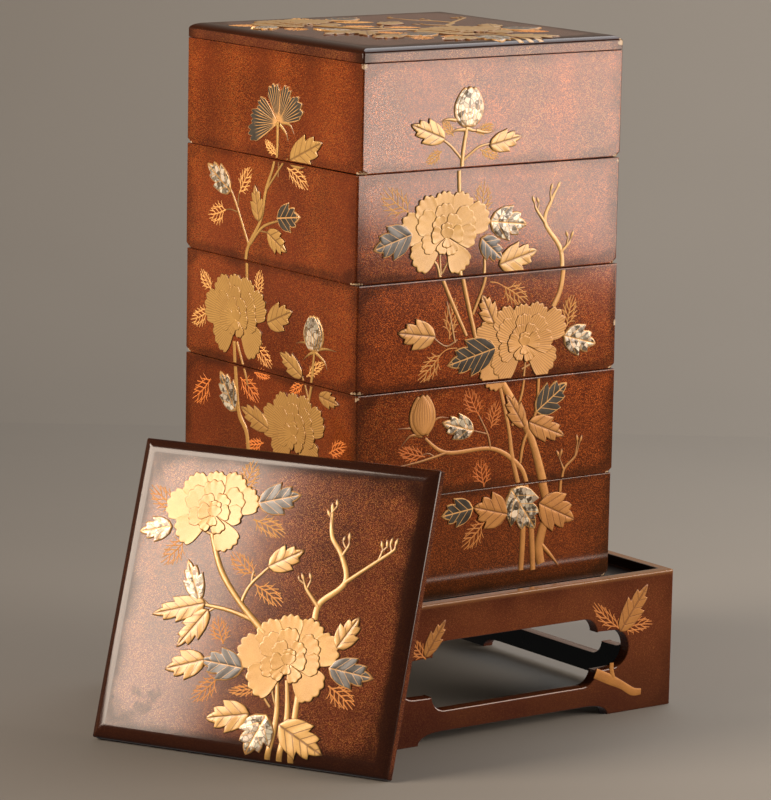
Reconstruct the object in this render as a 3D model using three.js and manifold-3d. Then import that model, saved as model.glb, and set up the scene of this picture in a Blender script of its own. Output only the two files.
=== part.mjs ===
import * as THREE from 'three';
import { mergeVertices } from 'three/addons/utils/BufferGeometryUtils.js';
import Module from 'manifold-3d';

// A set of five stacked lacquer boxes on an openwork stand. One lid closes the stack
// and a second lid leans against its near corner. Millimetres, +Z up, front face to -Y.
// The origin is the middle of the whole set's bounding box, at floor level.

const wasm = await Module();
wasm.setup();

// Boxes
const boxWidth = 230;
const boxDepth = 215;
const tierCount = 5;
const tierHeight = 76.5;
const wallThickness = 6;
const baseThickness = 5;
const cornerRadius = 1.2;
const edgeBreak = 0.6;
const wornCornerRadius = 6;
const wornCornerHeight = 3.5;

// Seats: a ring under each box and lid drops loosely into the mouth below
const restGap = 0.3;
const seatDepth = 4;
const seatWidth = 5;
const seatPlay = 3;

// Lids
const lidSideHeight = 6;
const bevelWidth = 9.5;
const bevelRise = 4.5;
const lidThickness = 6;
const lidSeatDepth = 3;

// Stand
const standMargin = 29;
const standHeight = 101;
const standWall = 9;
const standCornerRadius = 2;
const rimBreak = 1.2;
const wellDepth = 7.3;
const shelfThickness = 10;
const socketFloorGap = 0.6;

// Openings in the stand's walls, measured in from the wall's ends and up from the floor
const footLength = 59;
const apronLift = 8;
const apronSweep = 20;
const slotInset = 82;
const slotBottom = 23;
const slotTop = 73;
const slotCornerRadius = 12;
const lobeInset = 41;
const lobeRadius = 14;
const lobeMiddle = 48;

// How the pieces sit: the stack stands off the stand's centre, each box a little askew
const stackShift = new THREE.Vector2(-5, 5);
const boxPoses = [
  { turn: 0.50, x: 0.78, y: 1.38 },
  { turn: -0.39, x: -0.27, y: 0.47 },
  { turn: -0.12, x: 0.10, y: -0.34 },
  { turn: 0.05, x: -0.35, y: -1.33 },
  { turn: -0.03, x: -0.27, y: -0.18 },
];

// The leaning lid: its turn about the vertical, its lean and where it meets the stack
const leanTurn = -61.7;
const leanAngle = 20.7;
const leanContact = 161;

// Raised lacquer figures, laid out on sheets that are fitted to the faces
const reliefHeight = 0.9;
const reliefBite = 1.5;
const reliefMargin = 3;
const bloomStep = 0.5;
const frontSheet = { width: 230, height: 384 };
const sideSheet = { width: 215, height: 384 };
const lidSheet = { width: 230, height: 215 };
const lidPictureShift = 3.5;

// Derived sizes
const pitch = tierHeight + restGap;
const stackHeight = tierCount * pitch;
const mouth = { width: boxWidth - 2 * wallThickness, depth: boxDepth - 2 * wallThickness };
const seat = { width: mouth.width - 2 * seatPlay, depth: mouth.depth - 2 * seatPlay };
const stand = { width: boxWidth + 2 * standMargin, depth: boxDepth + 2 * standMargin };
const shelfTop = standHeight - wellDepth;
const lidHeight = lidSideHeight + bevelRise;

// Colours
const lacquer = { color: 0x6b2a12, roughness: 0.28, metalness: 0.0 };
const lidLacquer = { color: 0x5a3526, roughness: 0.3, metalness: 0.0 };
const standLacquer = { color: 0x4a2412, roughness: 0.35, metalness: 0.0 };

// Outlines

function point(x, y) {
  return new THREE.Vector2(x, y);
}

function arc(centreX, centreY, radius, fromDegrees, toDegrees, steps) {
  const points = [];
  for (let i = 0; i <= steps; i++) {
    const angle = THREE.MathUtils.degToRad(fromDegrees + (toDegrees - fromDegrees) * i / steps);
    points.push(point(centreX + radius * Math.cos(angle), centreY + radius * Math.sin(angle)));
  }
  return points;
}

function roundedRectangle(width, depth, radius, steps = 3) {
  const x = width / 2 - radius;
  const y = depth / 2 - radius;
  return [
    ...arc(x, y, radius, 0, 90, steps),
    ...arc(-x, y, radius, 90, 180, steps),
    ...arc(-x, -y, radius, 180, 270, steps),
    ...arc(x, -y, radius, 270, 360, steps),
  ];
}

function mirrored(points) {
  return points.map((p) => point(-p.x, p.y)).reverse();
}

// Solids

function toManifold(geometry) {
  const bare = geometry.clone();
  bare.deleteAttribute('normal');
  bare.deleteAttribute('uv');
  const merged = mergeVertices(bare, 1e-4);
  return new wasm.Manifold(new wasm.Mesh({
    numProp: 3,
    vertProperties: new Float32Array(merged.attributes.position.array),
    triVerts: new Uint32Array(merged.index.array),
  }));
}

function toGeometry(solid) {
  const mesh = solid.getMesh();
  const geometry = new THREE.BufferGeometry();
  geometry.setAttribute('position', new THREE.BufferAttribute(mesh.vertProperties, 3));
  geometry.setIndex(new THREE.BufferAttribute(mesh.triVerts, 1));
  geometry.computeVertexNormals();
  return geometry;
}

// A closed body through convex outlines that have equal point counts, from the lowest up
function loft(sections) {
  const count = sections[0].outline.length;
  const positions = [];
  const index = [];
  for (const { outline, z } of sections) {
    for (const p of outline) positions.push(p.x, p.y, z);
  }
  for (let level = 0; level + 1 < sections.length; level++) {
    for (let i = 0; i < count; i++) {
      const a = level * count + i;
      const b = level * count + (i + 1) % count;
      index.push(a, b, b + count, a, b + count, a + count);
    }
  }
  const top = (sections.length - 1) * count;
  for (let i = 1; i + 1 < count; i++) {
    index.push(0, i + 1, i);
    index.push(top, top + i, top + i + 1);
  }
  const geometry = new THREE.BufferGeometry();
  geometry.setAttribute('position', new THREE.Float32BufferAttribute(positions, 3));
  geometry.setIndex(index);
  return toManifold(geometry);
}

function block(width, depth, bottom, top, radius = 0.5, steps = 1) {
  const outline = roundedRectangle(width, depth, radius, steps);
  return loft([{ outline, z: bottom }, { outline, z: top }]);
}

function prism(outline, depth, matrix) {
  const shape = new THREE.Shape(outline);
  const geometry = new THREE.ExtrudeGeometry(shape, { depth, bevelEnabled: false, steps: 1 });
  return toManifold(geometry.applyMatrix4(matrix));
}

// Figures of the picture, as closed outlines on a sheet, each with its height above the face

function leaf(baseX, baseY, tipX, tipY, width) {
  const base = point(baseX, baseY);
  const along = point(tipX - baseX, tipY - baseY);
  const across = point(-along.y, along.x).normalize().multiplyScalar(width / 2);
  const lobes = [[0.01, 0.36], [0.28, 0.88], [0.56, 1.0], [0.53, 0.62], [0.79, 0.62], [0.77, 0.38]];
  const place = (share, side) => base.clone().addScaledVector(along, share).addScaledVector(across, side);
  const right = lobes.map(([share, side]) => place(share, -side));
  const left = lobes.map(([share, side]) => place(share, side)).reverse();
  return [{ outline: [...right, place(1, 0), ...left], height: reliefHeight }];
}

function scalloped(x, y, radiusX, radiusY, lobes, depth, turn = 0) {
  const outline = [];
  const steps = lobes * 3;
  for (let i = 0; i < steps; i++) {
    const angle = 2 * Math.PI * i / steps + turn;
    const swell = 1 - depth / 2 + depth / 2 * Math.cos(lobes * (angle - turn));
    outline.push(point(x + radiusX * swell * Math.cos(angle), y + radiusY * swell * Math.sin(angle)));
  }
  return outline;
}

function peony(x, y, radiusX, radiusY) {
  return [
    { outline: scalloped(x, y, radiusX, radiusY, 8, 0.16), height: reliefHeight },
    { outline: scalloped(x, y + radiusY * 0.12, radiusX * 0.6, radiusY * 0.6, 5, 0.2, 0.4),
      height: reliefHeight + bloomStep },
  ];
}

function petal(x, y, radiusX, radiusY) {
  return [{ outline: scalloped(x, y, radiusX, radiusY, 5, 0.08), height: reliefHeight }];
}

function bud(x, y, radiusX, radiusY) {
  return [{ outline: scalloped(x, y, radiusX, radiusY, 4, 0.04), height: reliefHeight + bloomStep }];
}

// A half open flower seen from the side, its petals spread over half a turn
function fan(x, y, radiusX, radiusY, fromDegrees, toDegrees, petals) {
  const outline = [point(x, y)];
  const steps = petals * 3;
  for (let i = 0; i <= steps; i++) {
    const angle = THREE.MathUtils.degToRad(fromDegrees + (toDegrees - fromDegrees) * i / steps);
    const swell = 0.92 - 0.08 * Math.cos(2 * Math.PI * petals * i / steps);
    outline.push(point(x + radiusX * swell * Math.cos(angle), y + radiusY * swell * Math.sin(angle)));
  }
  return [{ outline, height: reliefHeight }];
}

// A stem or trunk along its middle line, tapering from its first width to its last
function branch(route, firstWidth, lastWidth) {
  const middle = route.map(([x, y]) => point(x, y));
  const left = [];
  const right = [];
  middle.forEach((p, i) => {
    const before = middle[Math.max(i - 1, 0)];
    const after = middle[Math.min(i + 1, middle.length - 1)];
    const side = point(before.y - after.y, after.x - before.x).normalize();
    const half = THREE.MathUtils.lerp(firstWidth, lastWidth, i / (middle.length - 1)) / 2;
    left.push(p.clone().addScaledVector(side, half));
    right.push(p.clone().addScaledVector(side, -half));
  });
  return [{ outline: [...right, ...left.reverse()], height: reliefHeight }];
}

// Pictures: millimetres on the sheet, across from its middle and up from its lower edge

function frontPicture() {
  return [
    branch([[34, 13], [35, 42], [33, 62], [23, 96], [19, 118], [10, 150]], 5, 3),
    branch([[45, 12], [42, 48], [36, 78], [27, 92], [4, 105], [-36, 106], [-55, 118]], 5, 2.4),
    branch([[-36, 106], [-58, 102], [-77, 100]], 2.4, 1.2),
    branch([[52, 16], [50, 30], [56, 56], [50, 80], [40, 108], [27, 130], [12, 152]], 8, 6),
    branch([[52, 30], [60, 22], [68, 13]], 4, 2),
    branch([[30, 92], [33, 108], [43, 128], [45, 160]], 3, 3),
    branch([[68, 67], [70, 83], [80, 92], [86, 107]], 3, 1.6),
    branch([[70, 83], [63, 98]], 2.4, 1.4),
    leaf(-12, 63, -39, 60, 22),
    leaf(19, 56, -11, 64, 28),
    leaf(24, 72, 46, 42, 32),
    leaf(50, 60, 82, 45, 30),
    bud(-58, 135, 12, 15),
    leaf(-14, 120, -41, 128, 20),
    leaf(44, 129, 71, 147, 24),
    leaf(38, 121, 70, 108, 20),
    leaf(32, 119, 15, 144, 16),
    peony(31, 181, 43, 26),
    petal(4, 158, 17, 15),
    leaf(-49, 190, -81, 195, 23),
    leaf(3, 196, -8, 217, 17),
    leaf(4, 177, -37, 168, 28),
    leaf(68, 181, 97, 173, 24),
    branch([[-43, 232], [-34, 214], [-20, 188]], 3.4, 3),
    branch([[-26, 246], [-24, 228], [-12, 186]], 3.4, 4),
    branch([[-4, 242], [-5, 226], [-15, 203]], 2.6, 3),
    branch([[57, 203], [64, 218], [64, 243], [49, 264], [54, 279], [62, 293]], 4.6, 1.6),
    branch([[49, 264], [41, 274], [37, 284]], 3, 1.6),
    branch([[64, 242], [71, 248], [75, 257]], 3, 1.6),
    peony(-38, 263, 41, 28),
    leaf(-69, 263, -101, 254, 26),
    leaf(1, 268, 33, 264, 26),
    leaf(-7, 256, 12, 240, 19),
    leaf(10, 237, 43, 245, 23),
    branch([[-27, 284], [-28, 312], [-24, 338]], 3.4, 3.4),
    bud(-23, 350, 13.5, 14.5),
    branch([[-28, 312], [-14, 321], [-3, 323]], 2.4, 1.8),
    leaf(-3, 322, 25, 327, 17),
    branch([[-28, 313], [-38, 323], [-47, 329]], 2.4, 1.8),
    leaf(-45, 329, -74, 340, 19),
  ].flat();
}

function leftPicture() {
  return [
    branch([[-20, 12], [-22, 60], [-26, 103], [-38, 122], [-44, 170]], 6, 4),
    branch([[-8, 12], [-4, 50], [8, 95]], 5, 4),
    leaf(-42, 121, -62, 146, 24),
    leaf(0, 114, -35, 124, 18),
    peony(34, 118, 41, 26),
    leaf(64, 147, 88, 144, 13),
    peony(-40, 190, 41, 28),
    leaf(0, 190, 30, 202, 22),
    branch([[50, 140], [55, 160], [57, 178]], 3.2, 2.6),
    bud(56, 190, 13, 13),
    leaf(42, 158, 14, 171, 16),
    branch([[-28, 214], [-27, 238], [-10, 262], [-4, 284], [6, 306], [7, 334]], 3.6, 3),
    branch([[-25, 242], [-40, 267], [-50, 281]], 2.6, 2),
    branch([[-23, 243], [-8, 257], [12, 264]], 2.6, 2),
    branch([[-4, 284], [20, 309]], 2.4, 2),
    leaf(-50, 279, -80, 295, 21),
    leaf(-12, 262, -18, 287, 17),
    leaf(12, 266, 40, 270, 22),
    leaf(0, 254, 24, 243, 18),
    leaf(25, 309, 62, 325, 24),
    fan(7, 333, 37, 27, 10, 211, 6),
  ].flat();
}

// The hidden faces carry one plain climbing stem with a bloom and leaves to either side
function plainPicture() {
  const figures = [branch([[-6, 12], [4, 90], [-4, 170], [6, 250], [0, 300]], 6, 3)];
  for (let i = 0; i < 5; i++) {
    const side = i % 2 ? -1 : 1;
    const height = 50 + 46 * i;
    figures.push(leaf(side * 8, height, side * 38, height + 14, 19));
  }
  figures.push(peony(0, 305, 34, 25));
  return figures.flat();
}

function lidPicture() {
  return [
    branch([[20, -110], [22, -78], [18, -52]], 5, 3),
    branch([[29, -110], [30, -76], [25, -50]], 5, 3),
    branch([[38, -110], [36, -76], [35, -48]], 5, 4),
    branch([[-52, 44], [-40, 20], [-22, 0], [2, -20]], 4, 5),
    branch([[-20, 0], [-15, 13], [1, 31]], 3, 2),
    branch([[-8, -12], [-30, -7], [-58, -5]], 3.4, 2.4),
    branch([[38, -6], [40, 6], [56, 22], [50, 40], [40, 53], [36, 76]], 5, 1.6),
    branch([[56, 22], [72, 35], [88, 48], [90, 57]], 3.4, 1.6),
    branch([[39, 3], [28, 14], [22, 25]], 3.4, 1.6),
    peony(-53, 61, 37, 28),
    peony(24, -35, 40, 29),
    leaf(-3, 27, 22, 41, 20),
    leaf(-49, -5, -88, -17, 19),
    leaf(-45, -10, -64, -38, 19),
    leaf(-53, -2, -67, 25, 17),
    leaf(-85, 46, -109, 40, 19),
    leaf(-19, 70, 12, 79, 24),
    leaf(-11, -46, -44, -44, 24),
    leaf(-41, -44, -70, -54, 22),
    leaf(57, -38, 90, -41, 23),
    leaf(59, -23, 72, 0, 19),
    leaf(0, -77, -32, -84, 24),
    leaf(14, -77, 3, -105, 29),
    leaf(27, -82, 62, -98, 28),
  ].flat();
}

// Each face of a box: the way across it, the way up it, and its distance from the axis
const up = new THREE.Vector3(0, 0, 1);
const faces = [
  { across: new THREE.Vector3(1, 0, 0), span: boxWidth, reach: boxDepth / 2, sheet: frontSheet,
    picture: frontPicture() },
  { across: new THREE.Vector3(0, -1, 0), span: boxDepth, reach: boxWidth / 2, sheet: sideSheet,
    picture: leftPicture() },
  { across: new THREE.Vector3(-1, 0, 0), span: boxWidth, reach: boxDepth / 2, sheet: frontSheet,
    picture: plainPicture() },
  { across: new THREE.Vector3(0, 1, 0), span: boxDepth, reach: boxWidth / 2, sheet: sideSheet,
    picture: plainPicture() },
];

function fitted(outline, scaleX, scaleY, liftY) {
  return outline.map((p) => point(p.x * scaleX, p.y * scaleY + liftY));
}

function within(outline, low, high) {
  return outline.some((p) => p.y > low) && outline.some((p) => p.y < high);
}

// The part of one face's picture that falls on a box whose foot is at the given height
function boxRelief(face, foot) {
  const normal = new THREE.Vector3().crossVectors(face.across, up);
  const matrix = new THREE.Matrix4().makeBasis(face.across, up, normal);
  matrix.setPosition(normal.clone().multiplyScalar(face.reach - reliefBite));
  const low = 2 * edgeBreak;
  const high = tierHeight - 2 * edgeBreak;
  const halfSpan = face.span / 2 - reliefMargin;
  const deepest = reliefBite + reliefHeight + bloomStep;
  const windowOutline = [point(-halfSpan, low), point(halfSpan, low), point(halfSpan, high),
    point(-halfSpan, high)];
  const window = prism(windowOutline, deepest, matrix);
  let relief = null;
  for (const { outline, height } of face.picture) {
    const placed = fitted(outline, face.span / face.sheet.width, stackHeight / face.sheet.height, -foot);
    if (!within(placed, low, high)) continue;
    const figure = prism(placed, reliefBite + height, matrix);
    relief = relief ? relief.add(figure) : figure;
  }
  return relief ? relief.intersect(window) : null;
}

// Pieces

function makeBox(level) {
  const foot = roundedRectangle(boxWidth - 2 * edgeBreak, boxDepth - 2 * edgeBreak, wornCornerRadius);
  const worn = roundedRectangle(boxWidth, boxDepth, wornCornerRadius * 0.75);
  const body = roundedRectangle(boxWidth, boxDepth, cornerRadius);
  const rim = roundedRectangle(boxWidth - 2 * edgeBreak, boxDepth - 2 * edgeBreak, cornerRadius);
  let solid = loft([
    { outline: foot, z: 0 },
    { outline: worn, z: edgeBreak },
    { outline: body, z: wornCornerHeight },
    { outline: body, z: tierHeight - edgeBreak },
    { outline: rim, z: tierHeight },
  ]);
  const overlap = baseThickness / 2;
  solid = solid.add(block(seat.width, seat.depth, -seatDepth, overlap));
  solid = solid.subtract(block(mouth.width, mouth.depth, baseThickness, tierHeight + overlap));
  solid = solid.subtract(block(seat.width - 2 * seatWidth, seat.depth - 2 * seatWidth,
    -seatDepth - overlap, 0));
  for (const face of faces) {
    const relief = boxRelief(face, level * pitch);
    if (relief) solid = solid.add(relief);
  }
  return toGeometry(solid);
}

function makeLid() {
  const side = roundedRectangle(boxWidth, boxDepth, cornerRadius);
  const sections = [{ outline: side, z: 0 }, { outline: side, z: lidSideHeight }];
  const steps = 3;
  for (let i = 1; i <= steps; i++) {
    const turn = i / steps * Math.PI / 2;
    const inset = bevelWidth * (1 - Math.cos(turn));
    const rise = bevelRise * Math.sin(turn);
    const outline = roundedRectangle(boxWidth - 2 * inset, boxDepth - 2 * inset, cornerRadius);
    sections.push({ outline, z: lidSideHeight + rise });
  }
  const underside = lidHeight - lidThickness;
  const recess = { width: seat.width - 2 * seatWidth, depth: seat.depth - 2 * seatWidth };
  let solid = loft(sections).add(block(seat.width, seat.depth, -lidSeatDepth, underside / 2));
  solid = solid.subtract(block(recess.width, recess.depth, -2 * lidSeatDepth, underside));
  const flatInset = 2 * bevelWidth + reliefMargin;
  const flat = { width: boxWidth - flatInset, depth: boxDepth - flatInset };
  const window = block(flat.width, flat.depth, lidHeight - reliefBite, lidHeight + reliefBite);
  const matrix = new THREE.Matrix4().makeTranslation(lidPictureShift, 0, lidHeight - reliefBite);
  for (const { outline, height } of lidPicture()) {
    const placed = fitted(outline, boxWidth / lidSheet.width, boxDepth / lidSheet.height, 0);
    solid = solid.add(prism(placed, reliefBite + height, matrix).intersect(window));
  }
  return toGeometry(solid);
}

// The opening in one stand wall: a tall middle slot that steps to a low round lobe at each end
function slotOutline(wallLength) {
  const half = wallLength / 2;
  const shoulder = half - slotInset;
  const lobeEnd = half - lobeInset - lobeRadius;
  const lobeTop = lobeMiddle + lobeRadius;
  const lobeBottom = lobeMiddle - lobeRadius;
  const topMiddle = slotTop - slotCornerRadius;
  const bottomMiddle = slotBottom + slotCornerRadius;
  const right = [
    ...arc(shoulder, bottomMiddle, slotCornerRadius, 270, 355, 3),
    point(shoulder + slotCornerRadius, lobeBottom),
    ...arc(lobeEnd, lobeMiddle, lobeRadius, 270, 450, 6),
    point(shoulder + slotCornerRadius, lobeTop),
    ...arc(shoulder, topMiddle, slotCornerRadius, 5, 90, 3),
  ];
  return [...right, ...mirrored(right)];
}

// The gap under a wall between its feet, with a curved rise beside each foot
function apronOutline(wallLength) {
  const foot = wallLength / 2 - footLength;
  const right = [point(foot, -apronLift), point(foot, 0)];
  for (let i = 1; i <= 3; i++) {
    const share = i / 3;
    const rise = apronLift * Math.sin(share * Math.PI / 2);
    right.push(point(foot - apronSweep * share * share, rise));
  }
  return [...right, ...mirrored(right)];
}

function wallMatrix(across) {
  const normal = new THREE.Vector3().crossVectors(across, up);
  return new THREE.Matrix4().makeBasis(across, up, normal);
}

function makeStand() {
  const outer = roundedRectangle(stand.width, stand.depth, standCornerRadius);
  const rim = roundedRectangle(stand.width - 2 * rimBreak, stand.depth - 2 * rimBreak, standCornerRadius);
  const inner = { width: stand.width - 2 * standWall, depth: stand.depth - 2 * standWall };
  let solid = loft([
    { outline: outer, z: 0 },
    { outline: outer, z: standHeight - rimBreak },
    { outline: rim, z: standHeight },
  ]);
  solid = solid.subtract(block(inner.width, inner.depth, shelfTop, standHeight + wellDepth));
  solid = solid.subtract(block(inner.width, inner.depth, -shelfThickness, shelfTop - shelfThickness));
  const socketFloor = shelfTop - seatDepth - socketFloorGap;
  const socket = block(mouth.width, mouth.depth, socketFloor, standHeight);
  solid = solid.subtract(socket.translate([stackShift.x, stackShift.y, 0]));
  const through = 2 * Math.max(stand.width, stand.depth);
  for (const [across, length] of [[faces[0].across, stand.width], [faces[1].across, stand.depth]]) {
    const matrix = wallMatrix(across);
    const back = new THREE.Matrix4().makeTranslation(0, 0, -through / 2);
    const placed = matrix.multiply(back);
    solid = solid.subtract(prism(slotOutline(length), through, placed));
    solid = solid.subtract(prism(apronOutline(length), through, placed));
  }
  return toGeometry(solid);
}

// Assembly

function piece(name, geometry, look) {
  const mesh = new THREE.Mesh(geometry, new THREE.MeshStandardMaterial(look));
  mesh.name = name;
  return mesh;
}

const set = new THREE.Group();
set.add(piece('stand', makeStand(), standLacquer));

const stack = new THREE.Group();
stack.position.set(stackShift.x, stackShift.y, shelfTop + restGap);
set.add(stack);

function poseOf(number) {
  return boxPoses[Math.min(number, boxPoses.length) - 1];
}

function settle(mesh, pose, height) {
  mesh.position.set(pose.x, pose.y, height);
  mesh.rotation.z = THREE.MathUtils.degToRad(pose.turn);
  stack.add(mesh);
}

for (let number = 1; number <= tierCount; number++) {
  const level = tierCount - number;
  settle(piece(`tier_${number}`, makeBox(level), lacquer), poseOf(number), level * pitch);
}
settle(piece('lid', makeLid(), lidLacquer), poseOf(1), stackHeight);

// The second lid stands on the floor on its lower edge. Its upper edge leans on the near
// vertical corner of the box that stands at that height.
function leaningLid() {
  const mesh = piece('spare_lid', makeLid(), lidLacquer);
  const turn = THREE.MathUtils.degToRad(leanTurn);
  const lean = THREE.MathUtils.degToRad(leanAngle);
  const along = new THREE.Vector3(Math.cos(turn), Math.sin(turn), 0);
  const rise = new THREE.Vector3(-along.y * Math.sin(lean), along.x * Math.sin(lean), Math.cos(lean));
  const normal = new THREE.Vector3().crossVectors(along, rise);
  const contactHeight = boxDepth * rise.z - restGap * normal.z;
  const level = Math.floor((contactHeight - shelfTop) / pitch);
  const pose = poseOf(tierCount - level);
  const corner = new THREE.Vector2(-boxWidth / 2, -boxDepth / 2);
  corner.rotateAround(new THREE.Vector2(), THREE.MathUtils.degToRad(pose.turn));
  corner.add(stackShift).add(point(pose.x, pose.y));
  const contact = new THREE.Vector3(corner.x, corner.y, contactHeight);
  const origin = contact.addScaledVector(normal, restGap);
  origin.addScaledVector(along, boxWidth / 2 - leanContact).addScaledVector(rise, -boxDepth / 2);
  mesh.matrixAutoUpdate = false;
  mesh.matrix.makeBasis(along, rise, normal).setPosition(origin);
  return mesh;
}
set.add(leaningLid());

// The whole set is moved so that its bounding box stands centred over the origin
set.updateMatrixWorld(true);
const bounds = new THREE.Box3().setFromObject(set, true);
const middle = bounds.getCenter(new THREE.Vector3());
set.position.set(-middle.x, -middle.y, -bounds.min.z);

const group = new THREE.Group();
group.add(set);
group.updateMatrixWorld(true);

export default group;
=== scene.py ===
"""A set of five stacked lacquer boxes on an openwork stand, its spare lid leaning against it.

Figures are laid out in millimetres on flat sheets, one for each face, and then put on the faces.
"""

from math import cos, dist, hypot, log, pi, radians, sin, sqrt

import bmesh
import bpy
import numpy as np
from mathutils import Matrix, Vector


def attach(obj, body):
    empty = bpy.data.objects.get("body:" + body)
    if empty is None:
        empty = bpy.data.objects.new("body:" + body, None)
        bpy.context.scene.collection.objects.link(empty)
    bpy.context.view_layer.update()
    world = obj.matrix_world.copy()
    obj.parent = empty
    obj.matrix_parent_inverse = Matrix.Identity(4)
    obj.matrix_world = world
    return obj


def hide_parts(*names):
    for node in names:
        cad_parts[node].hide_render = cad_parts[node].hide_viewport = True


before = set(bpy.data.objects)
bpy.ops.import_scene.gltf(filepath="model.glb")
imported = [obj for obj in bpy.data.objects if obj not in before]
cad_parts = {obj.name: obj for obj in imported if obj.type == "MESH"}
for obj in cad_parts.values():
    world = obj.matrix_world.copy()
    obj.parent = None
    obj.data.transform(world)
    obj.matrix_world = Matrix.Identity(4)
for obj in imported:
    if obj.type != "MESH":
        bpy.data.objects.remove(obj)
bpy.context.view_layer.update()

# Sizes in millimetres, and the metres in one of them
MM = 0.001
BOX_WIDTH = 230
BOX_DEPTH = 215
TIER_HEIGHT = 76.5
TIER_PITCH = 76.8
WALL = 6
FLOOR = 5
SEAT_OUT = 9
SEAT_IN = 14
SEAT_DEPTH = 4
CORNER = 1.2
WORN_CORNER = 6
WORN_HEIGHT = 3.5
EDGE = 0.6
LID_SIDE = 6
BEVEL_WIDTH = 9.5
BEVEL_RISE = 4.5
LID_UNDERSIDE = 4.5
LID_SEAT = 3
LID_PICTURE_SHIFT = 3.5
STAND_WIDTH = 288
STAND_DEPTH = 273
STAND_HEIGHT = 101
STAND_WALL = 9
SHELF_TOP = 93.7
SHELF_UNDER = 83.7
SOCKET_FLOOR = 89.1
SLOT_END, SLOT_LOW, SLOT_HIGH, SLOT_ROUND = 82, 35, 61, 12
NECK, NECK_LOW, NECK_HIGH = 68, 33.6, 62.4
LOBE, LOBE_HEIGHT, LOBE_ROUND = 55, 48, 14
FOOT, FOOT_CURVE, APRON_RISE = 59, 20, 8
SOCKET_WIDTH, SOCKET_DEPTH, SOCKET_SHIFT, SOCKET_TOP = 218, 203, 5, 99
TIER_MARGIN = 1.2
LID_MARGIN = 1.5

# Figures: how high they stand, how far they reach into the face, the half width from which a stem
# counts as a trunk, and the mark of a twig that ends in a swollen bud
RELIEF = 0.9
STAND_RELIEF = 0.3
UNDER_FACE = -0.25
TRUNK = 2.2
BUDDED = 0.9


# Where each piece stands

def upright(x, y, z, turn):
    return Matrix.Translation((x, y, z)) @ Matrix.Rotation(radians(turn), 4, "Z")


def leaning(x, y, z, turn, lean):
    turn, lean = radians(turn), radians(lean)
    along = Vector((cos(turn), sin(turn), 0))
    rise = Vector((-sin(turn) * sin(lean), cos(turn) * sin(lean), cos(lean)))
    outward = along.cross(rise)
    place = Matrix((along, rise, outward)).transposed().to_4x4()
    return Matrix.Translation((x, y, z)) @ place


PLACES = {
    "stand": upright(62.639, 33.403, 0, 0),
    "tier_1": upright(58.419, 39.783, 401.2, 0.50),
    "tier_2": upright(57.369, 38.873, 324.4, -0.39),
    "tier_3": upright(57.739, 38.063, 247.6, -0.12),
    "tier_4": upright(57.289, 37.073, 170.8, 0.05),
    "tier_5": upright(57.369, 38.223, 94.0, -0.03),
    "lid": upright(58.419, 39.783, 478.0, 0.50),
    "spare_lid": leaning(-113.129, -48.173, 100.56, -61.7, 20.7),
}


# Finishes

class Finish:
    """A node material, put together a step at a time."""

    def __init__(self, name):
        self.material = bpy.data.materials.new(name)
        self.material.use_nodes = True
        self.tree = self.material.node_tree
        self.surface = self.tree.nodes["Principled BSDF"]

    def node(self, kind, inputs=(), **settings):
        made = self.tree.nodes.new(kind)
        for key, value in settings.items():
            setattr(made, key, value)
        for key, value in dict(inputs).items():
            self.feed(made.inputs[key], value)
        return made

    def feed(self, socket, value):
        if isinstance(value, bpy.types.NodeSocket):
            self.tree.links.new(value, socket)
        else:
            socket.default_value = value

    def set(self, **values):
        for key, value in values.items():
            self.feed(self.surface.inputs[key.replace("_", " ")], value)

    def place(self):
        return self.node("ShaderNodeTexCoord").outputs["Object"]

    def height(self):
        return self.node("ShaderNodeSeparateXYZ", {0: self.place()}).outputs[2]

    def mark(self, name):
        return self.node("ShaderNodeAttribute", attribute_name=name).outputs["Fac"]

    def sum(self, operation, *values):
        return self.node("ShaderNodeMath", enumerate(values), operation=operation).outputs[0]

    def times(self, first, second):
        return self.sum("MULTIPLY", first, second)

    def most(self, first, second):
        return self.sum("MAXIMUM", first, second)

    def vector(self, operation, *values):
        return self.node("ShaderNodeVectorMath", enumerate(values), operation=operation).outputs

    def between(self, value, low, high, to_low=0.0, to_high=1.0, smooth=True):
        kind = "SMOOTHSTEP" if smooth else "LINEAR"
        sizes = enumerate((value, low, high, to_low, to_high))
        return self.node("ShaderNodeMapRange", sizes, interpolation_type=kind).outputs[0]

    def mix(self, share, first, second, blend="MIX"):
        sizes = {0: share, 6: first, 7: second}
        return self.node("ShaderNodeMix", sizes, data_type="RGBA", blend_type=blend).outputs[2]

    def cells(self, scale):
        made = self.node("ShaderNodeTexVoronoi", {"Vector": self.place(), "Scale": scale})
        return made.outputs["Distance"], made.outputs["Color"]

    def cloud(self, scale, detail=2.0):
        sizes = {"Vector": self.place(), "Scale": scale, "Detail": detail}
        return self.node("ShaderNodeTexNoise", sizes).outputs["Fac"]

    def uneven(self, value, down, up, scale, detail=2.0):
        """A value with a cloudy change added to it, from down to up."""
        return self.sum("ADD", value, self.between(self.cloud(scale, detail), 0.3, 0.7, down, up))

    def off(self, centre):
        return self.vector("DISTANCE", self.place(), centre)["Value"]

    def part(self, colour, channel):
        return self.node("ShaderNodeSeparateColor", {0: colour}).outputs[channel]

    def raise_by(self, height, distance, strength=1.0):
        sizes = {"Height": height, "Distance": distance, "Strength": strength}
        self.feed(self.surface.inputs["Normal"], self.node("ShaderNodeBump", sizes).outputs[0])


def rgb(red, green, blue):
    return (red, green, blue, 1.0)


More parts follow.
